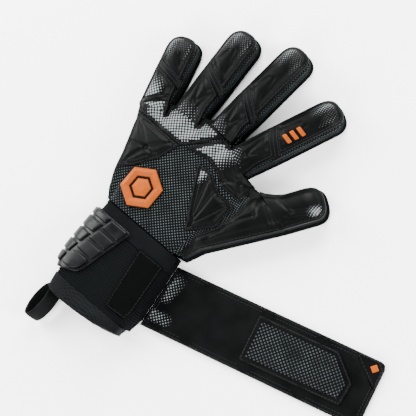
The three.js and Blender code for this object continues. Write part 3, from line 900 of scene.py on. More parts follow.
def archShare(finger, a, b):
    # how far out a point lies on its finger's arch; the thumb spreads towards the hand
    if finger["name"] != "thumb":
        return a / finger["half"]
    inner = np.interp(b, [20, 44], [27, finger["half"]])
    return np.clip(np.where(a > 0, a / finger["half"], a / inner), -1.15, 1.15)


def fingerPlace(finger):
    # bends flat layers over the finger: an arch across it, and a tip that comes down and closes
    def place(a, b, z):
        raised = z / glove["fingerHeight"]
        end = np.clip((b - finger["reach"] + glove["tipLength"]) / glove["tipLength"], 0, 1.05) ** 2
        arch = glove["arch"] * archShare(finger, a, b) ** 2
        height = z - raised * (arch + glove["tipDrop"] * end) + (1 - raised) * 2.6 * end
        plan = handPlan(finger, np.column_stack([a, b]))
        return np.column_stack([plan, height])
    return place


def tipCurve(half, reach):
    depth, points = glove["tipDepth"], []
    for i in range(25):
        angle = math.pi * i / 24
        across = math.copysign(abs(math.cos(angle)) ** glove["bluntness"], math.cos(angle))
        points.append((across * half, reach - depth + depth * math.sin(angle) ** glove["bluntness"]))
    return points


def fingerOutline(finger, drawnIn, start):
    # right side, blunt tip, left side, from a place behind or past the knuckle
    half = finger["half"] - drawnIn
    rootHalf = min(glove["rootHalf"], finger["half"]) - drawnIn
    reach = finger["reach"] - drawnIn
    sides = np.linspace(start, reach - glove["tipDepth"] - 2, 14)
    right = [(rootHalf + (half - rootHalf) * np.clip(b / glove["taper"], 0, 1), b) for b in sides]
    left = [(-a, b) for a, b in right[::-1]]
    return points2(right + tipCurve(half, reach) + left)


def seamCut(finger, shift):
    # a line across the finger at its joint seam, moved along the finger, and its direction
    middle, slope = finger["seam"]
    direction = np.array([-slope, 1.0]) / math.hypot(slope, 1.0)
    return np.array([0.0, middle]) + direction * shift, direction


def ridgeHeight(finger, points):
    plan = fingerPlan(finger, points)
    return glove["padTop"] - glove["arch"] * archShare(finger, plan[:, 0], plan[:, 1]) ** 2


cuff = {
    "top": 27.2, "low": 6.9, "power": 0.5, "wall": 2.4, "ribPitch": 2.1, "ribHeight": 0.45,
    "bandEnd": -65.0, "hemStart": -122.5, "bandSunk": 2.7,
    "left": [(-50, -38.5), (-57, -36), (-100, -36), (-112, -34), (-121, -29.5), (-133, -27.5), (-139, -25)],
    "right": [(-50, 44.5), (-57, 45.3), (-108, 51.5), (-118, 49.8), (-131, 47), (-139, 44)],
    "end": [(-29, -136.5), (-22, -138), (-10, -138.5), (10, -137.5), (30, -135.5), (48, -130.5)],
}


def tableAt(table, value):
    table = sorted(table)
    return np.interp(value, [row[0] for row in table], [row[1] for row in table])


def cuffPoint(angle, y, grow, low=None):
    low = cuff["low"] if low is None else low
    left, right = tableAt(cuff["left"], y) - grow, tableAt(cuff["right"], y) + grow
    cos, sin = np.cos(angle), np.sin(angle)
    x = (left + right) / 2 + (right - left) / 2 * np.sign(cos) * np.abs(cos) ** cuff["power"]
    top = cuff["top"] + grow
    if low > 0:
        z = low + (top - low) * np.abs(sin) ** cuff["power"]
    else:
        z = top / 2 + top / 2 * np.sign(sin) * np.abs(sin) ** cuff["power"]
    return np.column_stack([x, y + 0 * x, z])


def cuffTop(points):
    left, right = tableAt(cuff["left"], points[:, 1]), tableAt(cuff["right"], points[:, 1])
    share = np.clip(np.abs((points[:, 0] - (left + right) / 2) / ((right - left) / 2)), 0, 0.995)
    arch = (1 - share ** (2 / cuff["power"])) ** (cuff["power"] / 2)
    return cuff["low"] + (cuff["top"] - cuff["low"]) * arch


thumbLine = joints["thumb_root_fold"]
thumbFold = plane2(thumbLine["pos_m"]) / mm
thumbOut = np.array([thumbLine["axis"][1], -thumbLine["axis"][0]])   # from the hand towards the thumb


def backTop(points):
    # height of the back of the hand: a dome that breaks into one ridge for each finger and the thumb
    points = points2(points)
    x, y = points[:, 0], points[:, 1]
    dome = glove["dome"] - 6.6 * np.abs(x / 64) ** 3
    wrist = smooth(-y, 22, 50)
    dome = dome * (1 - wrist) + np.minimum(cuffTop(np.column_stack([x, 0 * y - 57])), dome) * wrist
    knuckleX = [finger["origin"][0] for finger in fingers]
    knuckleY = [finger["origin"][1] for finger in fingers]
    toward = smooth(y - np.interp(x, knuckleX, knuckleY), -30, -6)
    ridge = np.max([ridgeHeight(finger, points) for finger in fingers], axis=0)
    height = dome * (1 - toward) + ridge * toward
    thumbward = smooth((points - thumbFold) @ thumbOut, -12, 14)
    return height * (1 - thumbward) + ridgeHeight(thumb, points) * thumbward


def padHeights(surface, depth):
    # a pad has a flat welt round its rim and swells inside it
    puff, welt = glove["puff"], glove["welt"]

    def low(points, rim):
        return surface(points) - depth

    def high(points, rim):
        swell = puff * 1.15 * smooth(rim, welt, welt + 3.4)
        groove = 0.35 * np.exp(-((rim - welt) / 0.5) ** 2)
        return surface(points) - puff + swell - groove

    return low, high


def fingerTop(points):
    return np.full(len(points), glove["padTop"])


def makePad(names, outline, surface, depth, stitchedAt, cuts=(), finish="pad", place=flatPlace, **shape):
    # a foam panel, and the stitches at a distance in from its rim
    low, high = padHeights(surface, depth)
    piece, top = slab(names[0], outline, low, high, finishes[finish], place, cuts=cuts, **shape)
    threads = stitching(names[1], rimStitches(top, outline, stitchedAt, cuts))
    return piece, threads


def level(height):
    return lambda points, rim: np.full(len(points), float(height))


def rimLines(outline, distance, cuts=()):
    # lines at a distance in from an outline, open where the outline is cut or turns too sharply
    line = resampled(closedLine(inset(outline, distance)), 2.0)[:-1]
    keep = distanceTo(line, [closedLine(points2(outline))]) > distance * 0.93
    for origin, direction in cuts:
        keep &= np.abs((line - points2(origin)) @ points2(direction)) > distance + 0.6
    if keep.all():
        return [closedLine(line)]
    turn = int(np.argmin(keep))
    runs, run = [], []
    for point, kept in zip(np.roll(line, -turn, 0), np.roll(keep, -turn)):
        if kept:
            run.append(point)
        elif run:
            runs.append(np.array(run))
            run = []
    return runs + ([np.array(run)] if run else [])


def rimStitches(surface, outline, distance, cuts=()):
    return [spot for line in rimLines(outline, distance, cuts) for spot in stitchLine(surface, line)]


def bendFinger(finger, part, *pieces):
    # works out where a near part would bend over the knuckle, or a far part over the joint in the middle of the
    # finger, but only bakes each piece's transform
    if part == "near":
        spots = [np.array([0.0, shift]) for shift in bends["knuckle"]]
    else:
        spots = [seamCut(finger, shift)[0] for shift in bends["joint"]]
    start, end = [tuple(float(c) * mm for c in handPlan(finger, [spot])[0]) + (bends["height"] * mm,)
                  for spot in spots]
    for piece in pieces:
        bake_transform(piece)
        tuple(start)
        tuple(end)


def makeFoam(finger, key, part, outline, cuts, finish, bulge, pitch=1.6):
    # one length of a finger's latex or of its sleeve
    layer = foamLayers[key]
    piece, _ = slab(f"{finger['name']}_{part}_{key}", outline, level(layer["low"]), level(layer["high"]),
                    finishes[finish], fingerPlace(finger), cuts=cuts, edge=layer["edge"],
                    lowEdge=layer["lowEdge"], bulge=bulge, rows=layer["rows"], pitch=pitch)
    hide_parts(f"{finger['name']}_{'root' if part == 'near' else 'tip'}_{key}")
    return piece


def streaks(points, angle, pitch):
    # slanted strokes in the print, stronger and weaker
    turn = math.radians(angle)
    across = (points[:, 0] * math.cos(turn) + points[:, 1] * math.sin(turn)) * 2 * math.pi
    return 0.72 + 0.28 * np.sin(across / pitch) * np.sin(across / (pitch * 2.7) + 1)


def tipInk(finger):
    def ink(points):
        toTip = smooth(points[:, 1], finger["reach"] - 34, finger["reach"] - 8)
        sides = 0.35 + 0.65 * smooth(np.abs(points[:, 0] - 1.5), 1.5, 8.5)
        return 0.64 * toTip * sides * streaks(points, 12, 5.5)
    return ink


# fingers

fingerCreases = {  # across and along from the middle of the joint seam, depth, width
    "far": [([(-9, 7), (-3, 26)], 0.9, 1.4), ([(6, 4), (1, 28)], 0.8, 1.4)],
    "near": [([(-7, -6), (0, -27)], 1.4, 1.4), ([(6, -11), (0, -27)], 1.3, 1.4)],
}
bands = {"half": 2.6, "gap": 0.1, "tuck": 0.9, "low": 19.6, "high": 23.4}
fingerRoot = {"near": [((0, -glove["startBack"]), (0, 1))], "far": []}  # cut line where the hand goes on


def makeFinger(finger):
    lengths = {"near": -1, "far": 1}  # which side of the joint seam
    for key, drawnIn, bulge, finish in (("palm_latex", 0.8, 0.3, "latex"), ("sleeve", 1.9, -0.7, "gusset")):
        whole = fingerOutline(finger, drawnIn, -glove["startBack"])
        origin, direction = seamCut(finger, 0.0)
        for part, side in lengths.items():
            outline = keepSide(whole, origin, direction * side)
            cuts = fingerRoot[part] + [(origin, direction)]
            bendFinger(finger, part, makeFoam(finger, key, part, outline, cuts, finish, bulge))
    for part, side in lengths.items():
        makeFingerPad(finger, part, side)
    makeJointBand(finger)


def makeFingerPad(finger, part, side):
    # one back pad, which leaves a little of the sleeve in sight beside it
    origin, direction = seamCut(finger, (bands["half"] + bands["gap"]) * side)
    outline = keepSide(fingerOutline(finger, 0.7, -glove["startBack"]), origin, direction * side)
    shown = glove["wallShown"] / finger["half"] * smooth(outline[:, 1], -glove["startBack"], 9)
    outline[:, 0] *= np.where(outline[:, 0] > 0, 1 - shown, 1)
    creases = [(points2(line) + (0, finger["seam"][0]), deep, wide)
               for line, deep, wide in fingerCreases[part]]
    if part == "near" and finger["name"] == "little":
        creases = littleCreases()
    look = ("pad", finger["nearInk"]) if part == "near" else ("tipPad", tipInk(finger))
    names = [f"{finger['name']}_{part}_{kind}" for kind in ("back_pad", "stitching")]
    piece, threads = makePad(names, outline, fingerTop, glove["padDepth"], 1.25, fingerRoot[part], look[0],
                             fingerPlace(finger), lowEdge=0.8, bulge=0.3, creases=creases, ink=look[1])
    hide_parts(f"{finger['name']}_{'root' if part == 'near' else 'tip'}_back_pad")
    bendFinger(finger, part, piece, threads)


def makeJointBand(finger):
    # the flat band of the joint seam, with a row of stitches along each edge
    whole = fingerOutline(finger, 0.9, -glove["startBack"])
    origin, direction = seamCut(finger, -bands["half"] - bands["tuck"])
    end, _ = seamCut(finger, bands["half"] + bands["tuck"] / 2)
    outline = keepSide(keepSide(whole, origin, direction), end, -direction)
    piece, surface = slab(finger["name"] + "_joint_band", outline, level(bands["low"]), level(bands["high"]),
                          finishes["band"], fingerPlace(finger), edge=0.5, pitch=1.4)
    across = np.array([direction[1], -direction[0]])
    rows = []
    for shift in (-1.5, 1.5):
        middle = np.array([0.0, finger["seam"][0]]) + direction * shift
        reach = (finger["half"] - 2.6) / across[0]
        rows += stitchLine(surface, [middle - across * reach, middle + across * reach], 2.4)
    threads = stitching(finger["name"] + "_joint_stitching", rows)
    for item in (piece, threads):
        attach(item, finger["name"] + "_root")


littleBand = {"start": (-13.7, -7.0), "end": (11.0, 6.0), "half": 2.4}


def fromLittleBand(points):
    # how far a place lies past the slanted seam band at the root of the little finger
    along = points2(littleBand["end"]) - points2(littleBand["start"])
    along /= np.linalg.norm(along)
    return (points - points2(littleBand["start"])) @ np.array([-along[1], along[0]])


def littleCreases():
    away = points2(littleBand["end"]) - points2(littleBand["start"])
    across = np.array([-away[1], away[0]]) / np.linalg.norm(away)
    ends = points2([littleBand["start"], littleBand["end"]])
    return [(ends + across * shift * littleBand["half"], 0.9, 0.6) for shift in (-1, 1)]


def littleInk(points):
    past = fromLittleBand(points)
    streak = (1 - smooth(points[:, 0], -2, 6)) * (1 - 0.85 * smooth(points[:, 1], 6, 22))
    return 0.7 * np.where(past > 0, smooth(past, 2.6, 3.4) * streak, smooth(-past, 2.6, 3.4))


def ringInk(points):
    return 0.45 * (1 - smooth(points[:, 1], -4, 12)) * streaks(points, 5, 6)


def middleInk(points):
    return 0.45 * (1 - smooth(points[:, 1] + points[:, 0], -8, 8)) * streaks(points, 20, 7)


def indexInk(points):
    return 0.4 * (1 - smooth(points[:, 1] + 0.6 * points[:, 0], -10, 4))


indexMarks = {
    "across": (-0.5, 7.5), "places": (36.5, 43.0, 49.5), "width": 3.6, "slant": 1.6, "corner": 0.7,
    "low": 24.6, "top": 26.1,
}


def makeIndexMarks(finger):
    # three raised bars across the far pad
    left, right = indexMarks["across"]
    for i, start in enumerate(indexMarks["places"]):
        end, slant = start + indexMarks["width"], indexMarks["slant"]
        outline = [(left, start), (right, start + slant), (right, end + slant), (left, end)]
        outline = roundedCorners(outline, indexMarks["corner"])
        bar, _ = slab(f"index_mark_{i + 1}", outline, level(indexMarks["low"]), level(indexMarks["top"]),
                      finishes["orange"], fingerPlace(finger), edge=0.35, lowEdge=0.1, pitch=0.9)
        bendFinger(finger, "far", bar)


inks = {"little": littleInk, "ring": ringInk, "middle": middleInk, "index": indexInk}
for finger in fingers:
    finger["nearInk"] = inks[finger["name"]]
    makeFinger(finger)
makeIndexMarks(fingers[3])
print("fingers are ready")

# hand

hand = {
    "littleSide": [(-39.5, -50), (-44, -42), (-50.5, -18), (-55.8, 0), (-62, 15)],
    "thumbSide": [(58.5, 35), (62, 33), (49.4, -50)],
    "crotchShift": 2.5, "wallCut": 10.5,
}
thumbCut = (thumbFold - thumbOut * 9, thumbOut)
wristCut = ((0, glove["wristY"]), (0, 1))
fingerCuts = [(handPlan(f, [(0, -glove["startBack"])])[0], f["along"]) for f in fingers]


def handOutline():
    # up the little-finger side, round the root of each finger, and down the thumb's fold line
    points = list(hand["littleSide"])
    for i, finger in enumerate(fingers):
        back, half = -glove["startBack"], glove["rootHalf"] + 0.1
        points += [tuple(p) for p in handPlan(finger, [(-half, back), (half, back)])]
        if i < len(fingers) - 1:
            right = handPlan(finger, [(half, hand["crotchShift"])])[0]
            left = handPlan(fingers[i + 1], [(-half, -hand["crotchShift"])])[0]
            points += [tuple(right), tuple(left)]
    return points2(points + hand["thumbSide"])[::-1]


def handLayer(drawnIn, wristShift=0.0):
    # the hand's outline drawn in, but still reaching the lines where it goes on in other pieces
    loop = inset(handOutline(), drawnIn)
    loop = keepSide(loop, thumbCut[0], -thumbOut)
    return keepSide(loop, (0, glove["wristY"] + wristShift), (0, 1))


def wallTop(points, rim):
    return np.minimum(backTop(points) - 7.4, 19.6)


def below(surface, depth):
    return lambda points, rim: surface(points) - depth


def makeHand():
    # palm, side wall and mesh back are one above the other
    cuts = [thumbCut, wristCut] + fingerCuts
    latex, _ = slab("palm_latex_sheet", handLayer(0), level(0), level(glove["latexTop"]), finishes["latex"],
                    cuts=cuts, edge=1.6, lowEdge=2.6, pitch=2.2, bulge=0.4)
    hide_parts("palm_latex")
    walls, _ = slab("side_gusset", handLayer(1.6), level(cuff["low"]), wallTop, finishes["gusset"],
                    holes=[handLayer(5.0, 0.02)[::-1]], cuts=cuts, edge=0.5, lowEdge=0.5, bulge=-0.6, rows=4,
                    pitch=2.0)
    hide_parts("little_side_wall", "little_ring_web", "ring_middle_web", "middle_index_web",
                "thumb_wrist_wall", "index_thumb_web")
    back, _ = slab("back_mesh_panel", handLayer(0.6), below(backTop, 6.9), below(backTop, 2.9), finishes["backMesh"],
                   cuts=cuts, edge=1.2, pitch=2.0)
    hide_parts("back_mesh")
    edges = closedLine(handLayer(1.6))
    for piece in (latex, walls, back):
        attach(piece, "hand")


def ulnarInk(points):
    height = points[:, 1] - 0.28 * (points[:, 0] + 30)
    side = smooth(points[:, 0], -61, -55)
    return 0.72 * side * (1 - smooth(height, 38, 60)) * (0.7 + 0.3 * streaks(points, -18, 9))


def indexPadInk(points):
    across = points[:, 0] - 0.4 * (points[:, 1] - 30)
    return 0.72 * (1 - smooth(across, 14, 36)) * (0.7 + 0.3 * streaks(points, 40, 8))


def thumbPadInk(points):
    return 0.7 * (1 - smooth(np.linalg.norm(points - points2((14, 16)), axis=1), 4, 13))


def fingerEdge(index, side):
    # a corner of the hand's edge at a finger: side is -1 towards the little finger, 1 towards the thumb
    return tuple(handPlan(fingers[index], [(side * glove["rootHalf"], -glove["startBack"])])[0])


def crotch(index):
    right = handPlan(fingers[index], [(glove["rootHalf"], 1.0)])[0]
    left = handPlan(fingers[index + 1], [(-glove["rootHalf"], -4.0)])[0]
    return [tuple(right), tuple(left)]


def backPads():
    # star and fan are the places where the creases of two of the pads meet
    star = (-37, 4)
    fan = (37, -22)
    return {
        "outer_knuckle_pad": {
            "outline": [(-46.5, -23.5), (-34, -13), (-21, 4.5), (-14.5, 22.6), (-63.8, 23.6), (-60.6, 13),
                        (-55, -1)],
            "creases": [([star, end], 1.5, 1.3) for end in
                        ((-57, 18), (-22, 19), (-25, 3), (-44, -16), (-52, 0))],
            "ink": None, "cuts": [],
        },
        "ulnar_knuckle_pad": {
            "outline": [(-64.2, 24.2), (-15, 23.2), (-9.6, 26.6), (4.5, 43.5), (11.8, 52.5),
                        fingerEdge(2, -1), *crotch(1)[::-1], fingerEdge(1, 1), fingerEdge(1, -1),
                        *crotch(0)[::-1], fingerEdge(0, 1), fingerEdge(0, -1)],
            "creases": [([(-52, 27), (-32, 44)], 0.7, 1.2), ([(-20, 28), (-14, 52)], 0.7, 1.2),
                        ([(-32, 44), (-20, 28)], 0.5, 1.2)],
            "ink": ulnarInk, "cuts": fingerCuts[:3],
        },
        "index_knuckle_pad": {
            "outline": [(-8.8, 24.4), (14.2, 29.2), (25.2, 26), (37.6, 18.4), (56.5, 18), (58, 34.4),
                        fingerEdge(3, 1), fingerEdge(3, -1), (12.2, 50.5), (5.2, 42)],
            "creases": [([(34, 22), (46, 31)], 1.4, 1.2), ([(24, 44), (46, 31)], 1.2, 1.2),
                        ([(46, 31), (54, 22)], 1.2, 1.2), ([(46, 31), (54, 36)], 1.0, 1.2)],
            "ink": indexPadInk, "cuts": [fingerCuts[3]],
        },
        "thumb_side_pad": {
            "outline": [(8.4, 21.6), (37.2, -29), (55.2, -10), (56.2, 12.6), (41.2, 13.6), (36.8, 15.2),
                        (24.4, 22.6)],
            "creases": [([fan, end], 1.3, 1.2) for end in ((15, 17), (25, 17), (36, 10), (50, 8))],
            "ink": thumbPadInk, "cuts": [],
        },
    }


def bendToThumb(*pieces):
    start, end = [tuple((thumbFold + thumbOut * shift) * mm) + (bends["height"] * mm,)
                  for shift in bends["thumb"]]
    for piece in pieces:
        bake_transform(piece)
        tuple(start)
        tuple(end)


def makeBackPads():
    for name, pad in backPads().items():
        names = (name + "_foam", name + "_stitching")
        pieces = makePad(names, pad["outline"], backTop, glove["handPadDepth"], 1.2, pad["cuts"], edge=0.9,
                         lowEdge=0.3, creases=pad["creases"], ink=pad["ink"], pitch=1.5)
        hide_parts(name)
        if name == "thumb_side_pad":
            bendToThumb(*pieces)
        else:
            for item in pieces:
                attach(item, "hand")


badge = {
    "place": (-16, -24), "radius": 20.0, "plate": 1.0, "rim": 1.0, "ridge": 3.1, "rise": 1.9, "floor": 2.2,
    "wall": 0.3, "wallRise": 0.9, "sunk": 2.85, "softness": 0.35,
}


def makeBadge():
    # one hexagon: a thin plate whose face is inset again and again into a chiselled frame and a middle boss
    low = float(backTop([badge["place"]])[0]) - badge["sunk"]
    ridge, rise = badge["ridge"], badge["rise"]
    wall, wallRise = badge["wall"], badge["wallRise"]
    bpy.ops.mesh.primitive_circle_add(vertices=6, radius=badge["radius"] * mm, fill_type="NGON",
                                      location=(badge["place"][0] * mm, badge["place"][1] * mm, low * mm))
    piece = bpy.context.object
    piece.name = "back_badge"
    bpy.ops.object.transform_apply(location=True, rotation=True, scale=True)
    bpy.ops.object.mode_set(mode="EDIT")
    bpy.ops.mesh.select_all(action="SELECT")
    bpy.ops.mesh.extrude_region_move(TRANSFORM_OT_translate={"value": (0, 0, badge["plate"] * mm)})
    for width, height in ((badge["rim"], 0), (wall, wallRise), (ridge, rise), (ridge, -rise),
                          (wall, -wallRise), (badge["floor"], 0), (wall, wallRise), (ridge, rise)):
        bpy.ops.mesh.inset(thickness=width * mm, depth=height * mm)
    bpy.ops.mesh.select_all(action="SELECT")
    bpy.ops.mesh.normals_make_consistent(inside=False)
    bpy.ops.object.mode_set(mode="OBJECT")
    piece.data.materials.append(finishes["orange"])
    piece.data.materials.append(finishes["band"])
    for face in piece.data.polygons:
        face.material_index = 1 if face.center.z < (low + badge["plate"] + 0.2) * mm else 0
    bevel = piece.modifiers.new("softEdges", "BEVEL")
    bevel.width = badge["softness"] * mm
    bevel.segments = 2
    bpy.ops.object.modifier_apply(modifier=bevel.name)
    bpy.ops.object.select_all(action="DESELECT")
    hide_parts("badge")
    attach(piece, "hand")


makeHand()
makeBackPads()
makeBadge()
print("hand is ready")

# thumb

thumbShape = {
    "inner": [(58.5, 35.1), (68, 38.4), (75.8, 43.2)],
    "outer": [(66.8, -19), (56.5, -32), (49, -47.5)],
    "padStart": [(59.2, 34.2), (60.4, 14), (56.8, -8), (45.5, -27), (44, -49)],
    "behindPad": [(20, -60), (20, 40)],
    "creases": [([(66, 30), (75, 18)], 1.4, 1.3), ([(72, 34), (82, 27), (90, 22)], 1.3, 1.2),
                ([(62, 0), (75, 18)], 1.0, 1.3), ([(56, -22), (60, -4)], 0.9, 1.3)],
    "farCreases": [([(-9, 38), (4, 46)], 1.2, 1.3), ([(8, 40), (9.5, 54), (11, 66)], 1.2, 0.8),
                   ([(4, 46), (6, 64)], 0.9, 1.2)],
}


def thumbOutline(drawnIn):
    # the whole thumb in its own plan, from the hand's cut line round the tip
    inner = fingerPlan(thumb, thumbShape["inner"])
    outer = fingerPlan(thumb, thumbShape["outer"])
    far = fingerPlan(thumb, [(30, -49.6), (30, 35.1)])
    half, reach = thumb["half"], thumb["reach"]
    sides = np.linspace(42, reach - glove["tipDepth"] - 2, 4)
    right = [(half, b) for b in (34, *sides)]
    left = [(-half, b) for b in sides[::-1]]
    loop = [far[0], *outer[::-1], *right, *tipCurve(half, reach), *left, *inner[::-1], far[1]]
    return inset(loop, drawnIn)


thumbSeam = seamCut(thumb, 0.0)
thumbHandCut = (fingerPlan(thumb, [thumbCut[0]])[0],
                np.array([thumbOut @ thumb["across"], thumbOut @ thumb["along"]]))


def thumbLength(whole, part, shift=0.0):
    # the near part lies between the hand and the seam, the far part beyond the seam
    middle, direction = thumbSeam
    if part == "far":
        return keepSide(whole, middle, direction)
    return keepSide(keepSide(whole, *thumbHandCut), middle - direction * shift, -direction)


def makeThumb():
    for key, drawnIn, bulge, finish in (("palm_latex", 0.0, 0.5, "latex"), ("sleeve", 1.6, -0.7, "band")):
        whole = thumbOutline(drawnIn)
        near = makeFoam(thumb, key, "near", thumbLength(whole, "near"), [thumbHandCut, thumbSeam], finish,
                        bulge, 1.8)
        bendToThumb(near)
        far = makeFoam(thumb, key, "far", thumbLength(whole, "far"), [thumbSeam], finish, bulge, 1.8)
        bendFinger(thumb, "far", far)
    makeThumbMesh()
    makeThumbPads()


def thumbBack(plan):
    # the height of the back, at places given in the thumb's own plan
    return backTop(handPlan(thumb, plan))


def barePlace(a, b, z):
    # turns the thumb's plan into the hand's, and leaves the heights as they are
    return np.column_stack([handPlan(thumb, np.column_stack([a, b])), z])


def makeThumbMesh():
    # the mesh goes on under the thumb's near pad, up to its seam
    outline = thumbLength(thumbOutline(1.0), "near", 3.0)
    mesh, _ = slab("thumb_base_mesh", outline, below(thumbBack, 6.4), below(thumbBack, 2.9),
                   finishes["gusset"], barePlace, cuts=[thumbHandCut], edge=0.8, pitch=2.0)
    bendToThumb(mesh)


def nearPadOutline():
    # the part of the thumb beyond the pad's own starting line, which lies on the hand
    start = fingerPlan(thumb, thumbShape["padStart"])
    behind = np.vstack([start, fingerPlan(thumb, thumbShape["behindPad"])])
    near = keepSide(thumbOutline(0.7), thumbSeam[0], -thumbSeam[1])
    near = near[~inside(near, behind)]
    first = int(np.argmin(np.linalg.norm(near - start[-1], axis=1)))
    return np.vstack([np.roll(near, -first, 0), start[:-1]])


def makeThumbPads():
    creases = [(fingerPlan(thumb, line), deep, wide) for line, deep, wide in thumbShape["creases"]]
    near = makePad(("thumb_near_back_pad", "thumb_near_stitching"), nearPadOutline(), thumbBack,
                   glove["handPadDepth"], 1.25, [thumbSeam], place=barePlace, lowEdge=0.3, creases=creases)
    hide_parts("thumb_root_back_pad")
    bendToThumb(*near)
    outline = thumbLength(thumbOutline(0.7), "far")
    far = makePad(("thumb_far_back_pad", "thumb_far_stitching"), outline, fingerTop, glove["padDepth"], 1.25,
                  [thumbSeam], "tipPad", fingerPlace(thumb), lowEdge=0.8, creases=thumbShape["farCreases"],
                  ink=thumbTipInk)
    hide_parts("thumb_tip_back_pad")
    bendFinger(thumb, "far", *far)


def thumbTipInk(points):
    return 0.8 * smooth(points[:, 1], thumb["reach"] - 20, thumb["reach"] - 8) * smooth(points[:, 0], 1, 8)


makeThumb()
print("thumb is ready")

# cuff

cuffParts = {
    "latex": [(-38.5, -50), (-36, -57), (-36, -100), (-34, -112), (-29.5, -122), (49.2, -122), (51.3, -108),
              (45.2, -57), (44.5, -50)],
    "patch": [(19, -63), (27, -117.5), (46.5, -116), (48, -108), (43.5, -63)],
    "patchHeight": 1.9,
}


def cuffSheet(name, start, end, ribbed):
    # the cuff's upper, as a sheet from one side over the top to the other
    steps = 96
    angles = math.pi - math.pi * (0.5 - 0.5 * np.cos(math.pi * np.arange(steps + 1) / steps))
    spacing = cuff["ribPitch"] / 6 if ribbed else 0.9
    along = np.linspace(end, start, max(4, int((start - end) / spacing)))

    def surface(angle, y, depth):
        rib, sunk = 0, 0
        if ribbed:
            rib = cuff["ribHeight"] * np.cos(2 * math.pi * (y - cuff["bandEnd"]) / cuff["ribPitch"])
        else:
            sunk = cuff["bandSunk"] * (1 - smooth(-y, -glove["wristY"], -cuff["bandEnd"]))
        wave = 0.35 * np.sin(angle * 5 + y * 0.11) * np.sin(y * 0.07 + angle * 2)
        return cuffPoint(angle, y, (rib + wave if depth == 0 else 0) - depth - sunk)

    section = cuffPoint(angles, np.full_like(angles, (start + end) / 2), 0.0)
    around = np.concatenate([[0], np.cumsum(np.linalg.norm(np.diff(section, axis=0), axis=1))])

    def flatUv(angle, y):
        return np.column_stack([np.interp(-angle, -angles, around), y])

    return shapedGrid(name, surface, angles, along, finishes["rib"], cuff["wall"], uv=flatUv)


def makeHem():
    # the mesh hem goes right round the wrist opening, and its end follows the curved edge
    steps = 120
    angles = math.pi - 2 * math.pi * np.arange(steps) / steps
    angles = angles + 0.16 * np.sin(2 * angles)
    along = np.linspace(0, 1, 22)

    def surface(angle, share, depth):
        side = cuffPoint(angle, np.full_like(angle, cuff["hemStart"] - 7.5), -depth, low=0)
        end = tableAt(cuff["end"], side[:, 0])
        y = end + (cuff["hemStart"] - 0.3 - end) * share
        lip = 0.5 * np.exp(-((share - 0.1) / 0.07) ** 2) - 0.9 * np.maximum(0.06 - share, 0) / 0.06
        spot = cuffPoint(angle, y, (lip - 0.2 if depth == 0 else -0.2) - depth, low=0)
        return np.column_stack([spot[:, 0], y, np.maximum(spot[:, 2], 0.05 + depth)])

    def flatUv(angle, share):
        return np.column_stack([-angle * 26, share * 15])

    piece = shapedGrid("hem_mesh", surface, angles, along, finishes["hem"], 2.2, ring=True, uv=flatUv)
    sectionLength(-130, True) * mm
    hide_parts("mesh_hem")
    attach(piece, "cuff")


def sectionLength(y, whole=False):
    # the way round the cuff's section, over the top only or right round
    angles = np.linspace(0, 2 * math.pi if whole else math.pi, 400)
    line = cuffPoint(angles, np.full_like(angles, y), 0.0, low=0 if whole else None)
    return float(np.linalg.norm(np.diff(line, axis=0), axis=1).sum())


def bendToCuff(piece):
    start, end = [(0, y * mm, bends["wristHeight"] * mm) for y in bends["wrist"]]
    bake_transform(piece)
    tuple(start)
    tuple(end)


def patchLow(points, rim):
    return cuffTop(points) + 0.25


def patchHigh(points, rim):
    loops = 0.12 * np.sin(points[:, 0] * 3.1) * np.sin(points[:, 1] * 2.7)
    return cuffTop(points) + cuffParts["patchHeight"] + loops


def makeCuff():
    band = cuffSheet("wrist_knit_band", glove["wristY"], cuff["bandEnd"], False)
    sectionLength(-57) * mm
    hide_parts("knit_band")
    bendToCuff(band)
    ribs = cuffSheet("ribbed_cuff_knit", cuff["bandEnd"] - 0.2, cuff["hemStart"], True)
    sectionLength(-95) * mm
    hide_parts("ribbed_cuff")
    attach(ribs, "cuff")
    latex, _ = slab("cuff_latex_sheet", cuffParts["latex"], level(0), level(glove["latexTop"]),
                    finishes["latex"], cuts=[wristCut], edge=1.4, lowEdge=2.4, pitch=2.4, bulge=0.4)
    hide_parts("cuff_palm_latex")
    bendToCuff(latex)
    patch, surface = slab("closing_loop_patch", cuffParts["patch"], patchLow, patchHigh, finishes["pile"],
                          edge=0.7, pitch=1.1)
    threads = stitching("loop_patch_stitching", rimStitches(surface, cuffParts["patch"], 1.4))
    polygonArea(cuffParts["patch"]) * mm ** 2
    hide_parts("loop_patch")
    for item in (patch, threads):
        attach(item, "cuff")
    makeHem()


guard = {
    "plateTop": 2.2, "blockTop": 3.9, "edge": 1.1, "sectionY": -80.0, "shift": -20.0,
    "left": -31.0, "plateRight": [(-58.8, 5), (-105, -7.5), (-112, -11), (-117, -20)],
    "column": [(-58, -15.5), (-90, -24.5), (-118, -31)],
    "rightBlocks": [(-60.6, -71.2), (-73.4, -83.8), (-86, -96.2), (-98.6, -113.6)],
    "leftBlocks": [(-60, -66.2), (-68.2, -78.6), (-80.6, -91), (-93, -103.4), (-105.4, -114.5)],
}


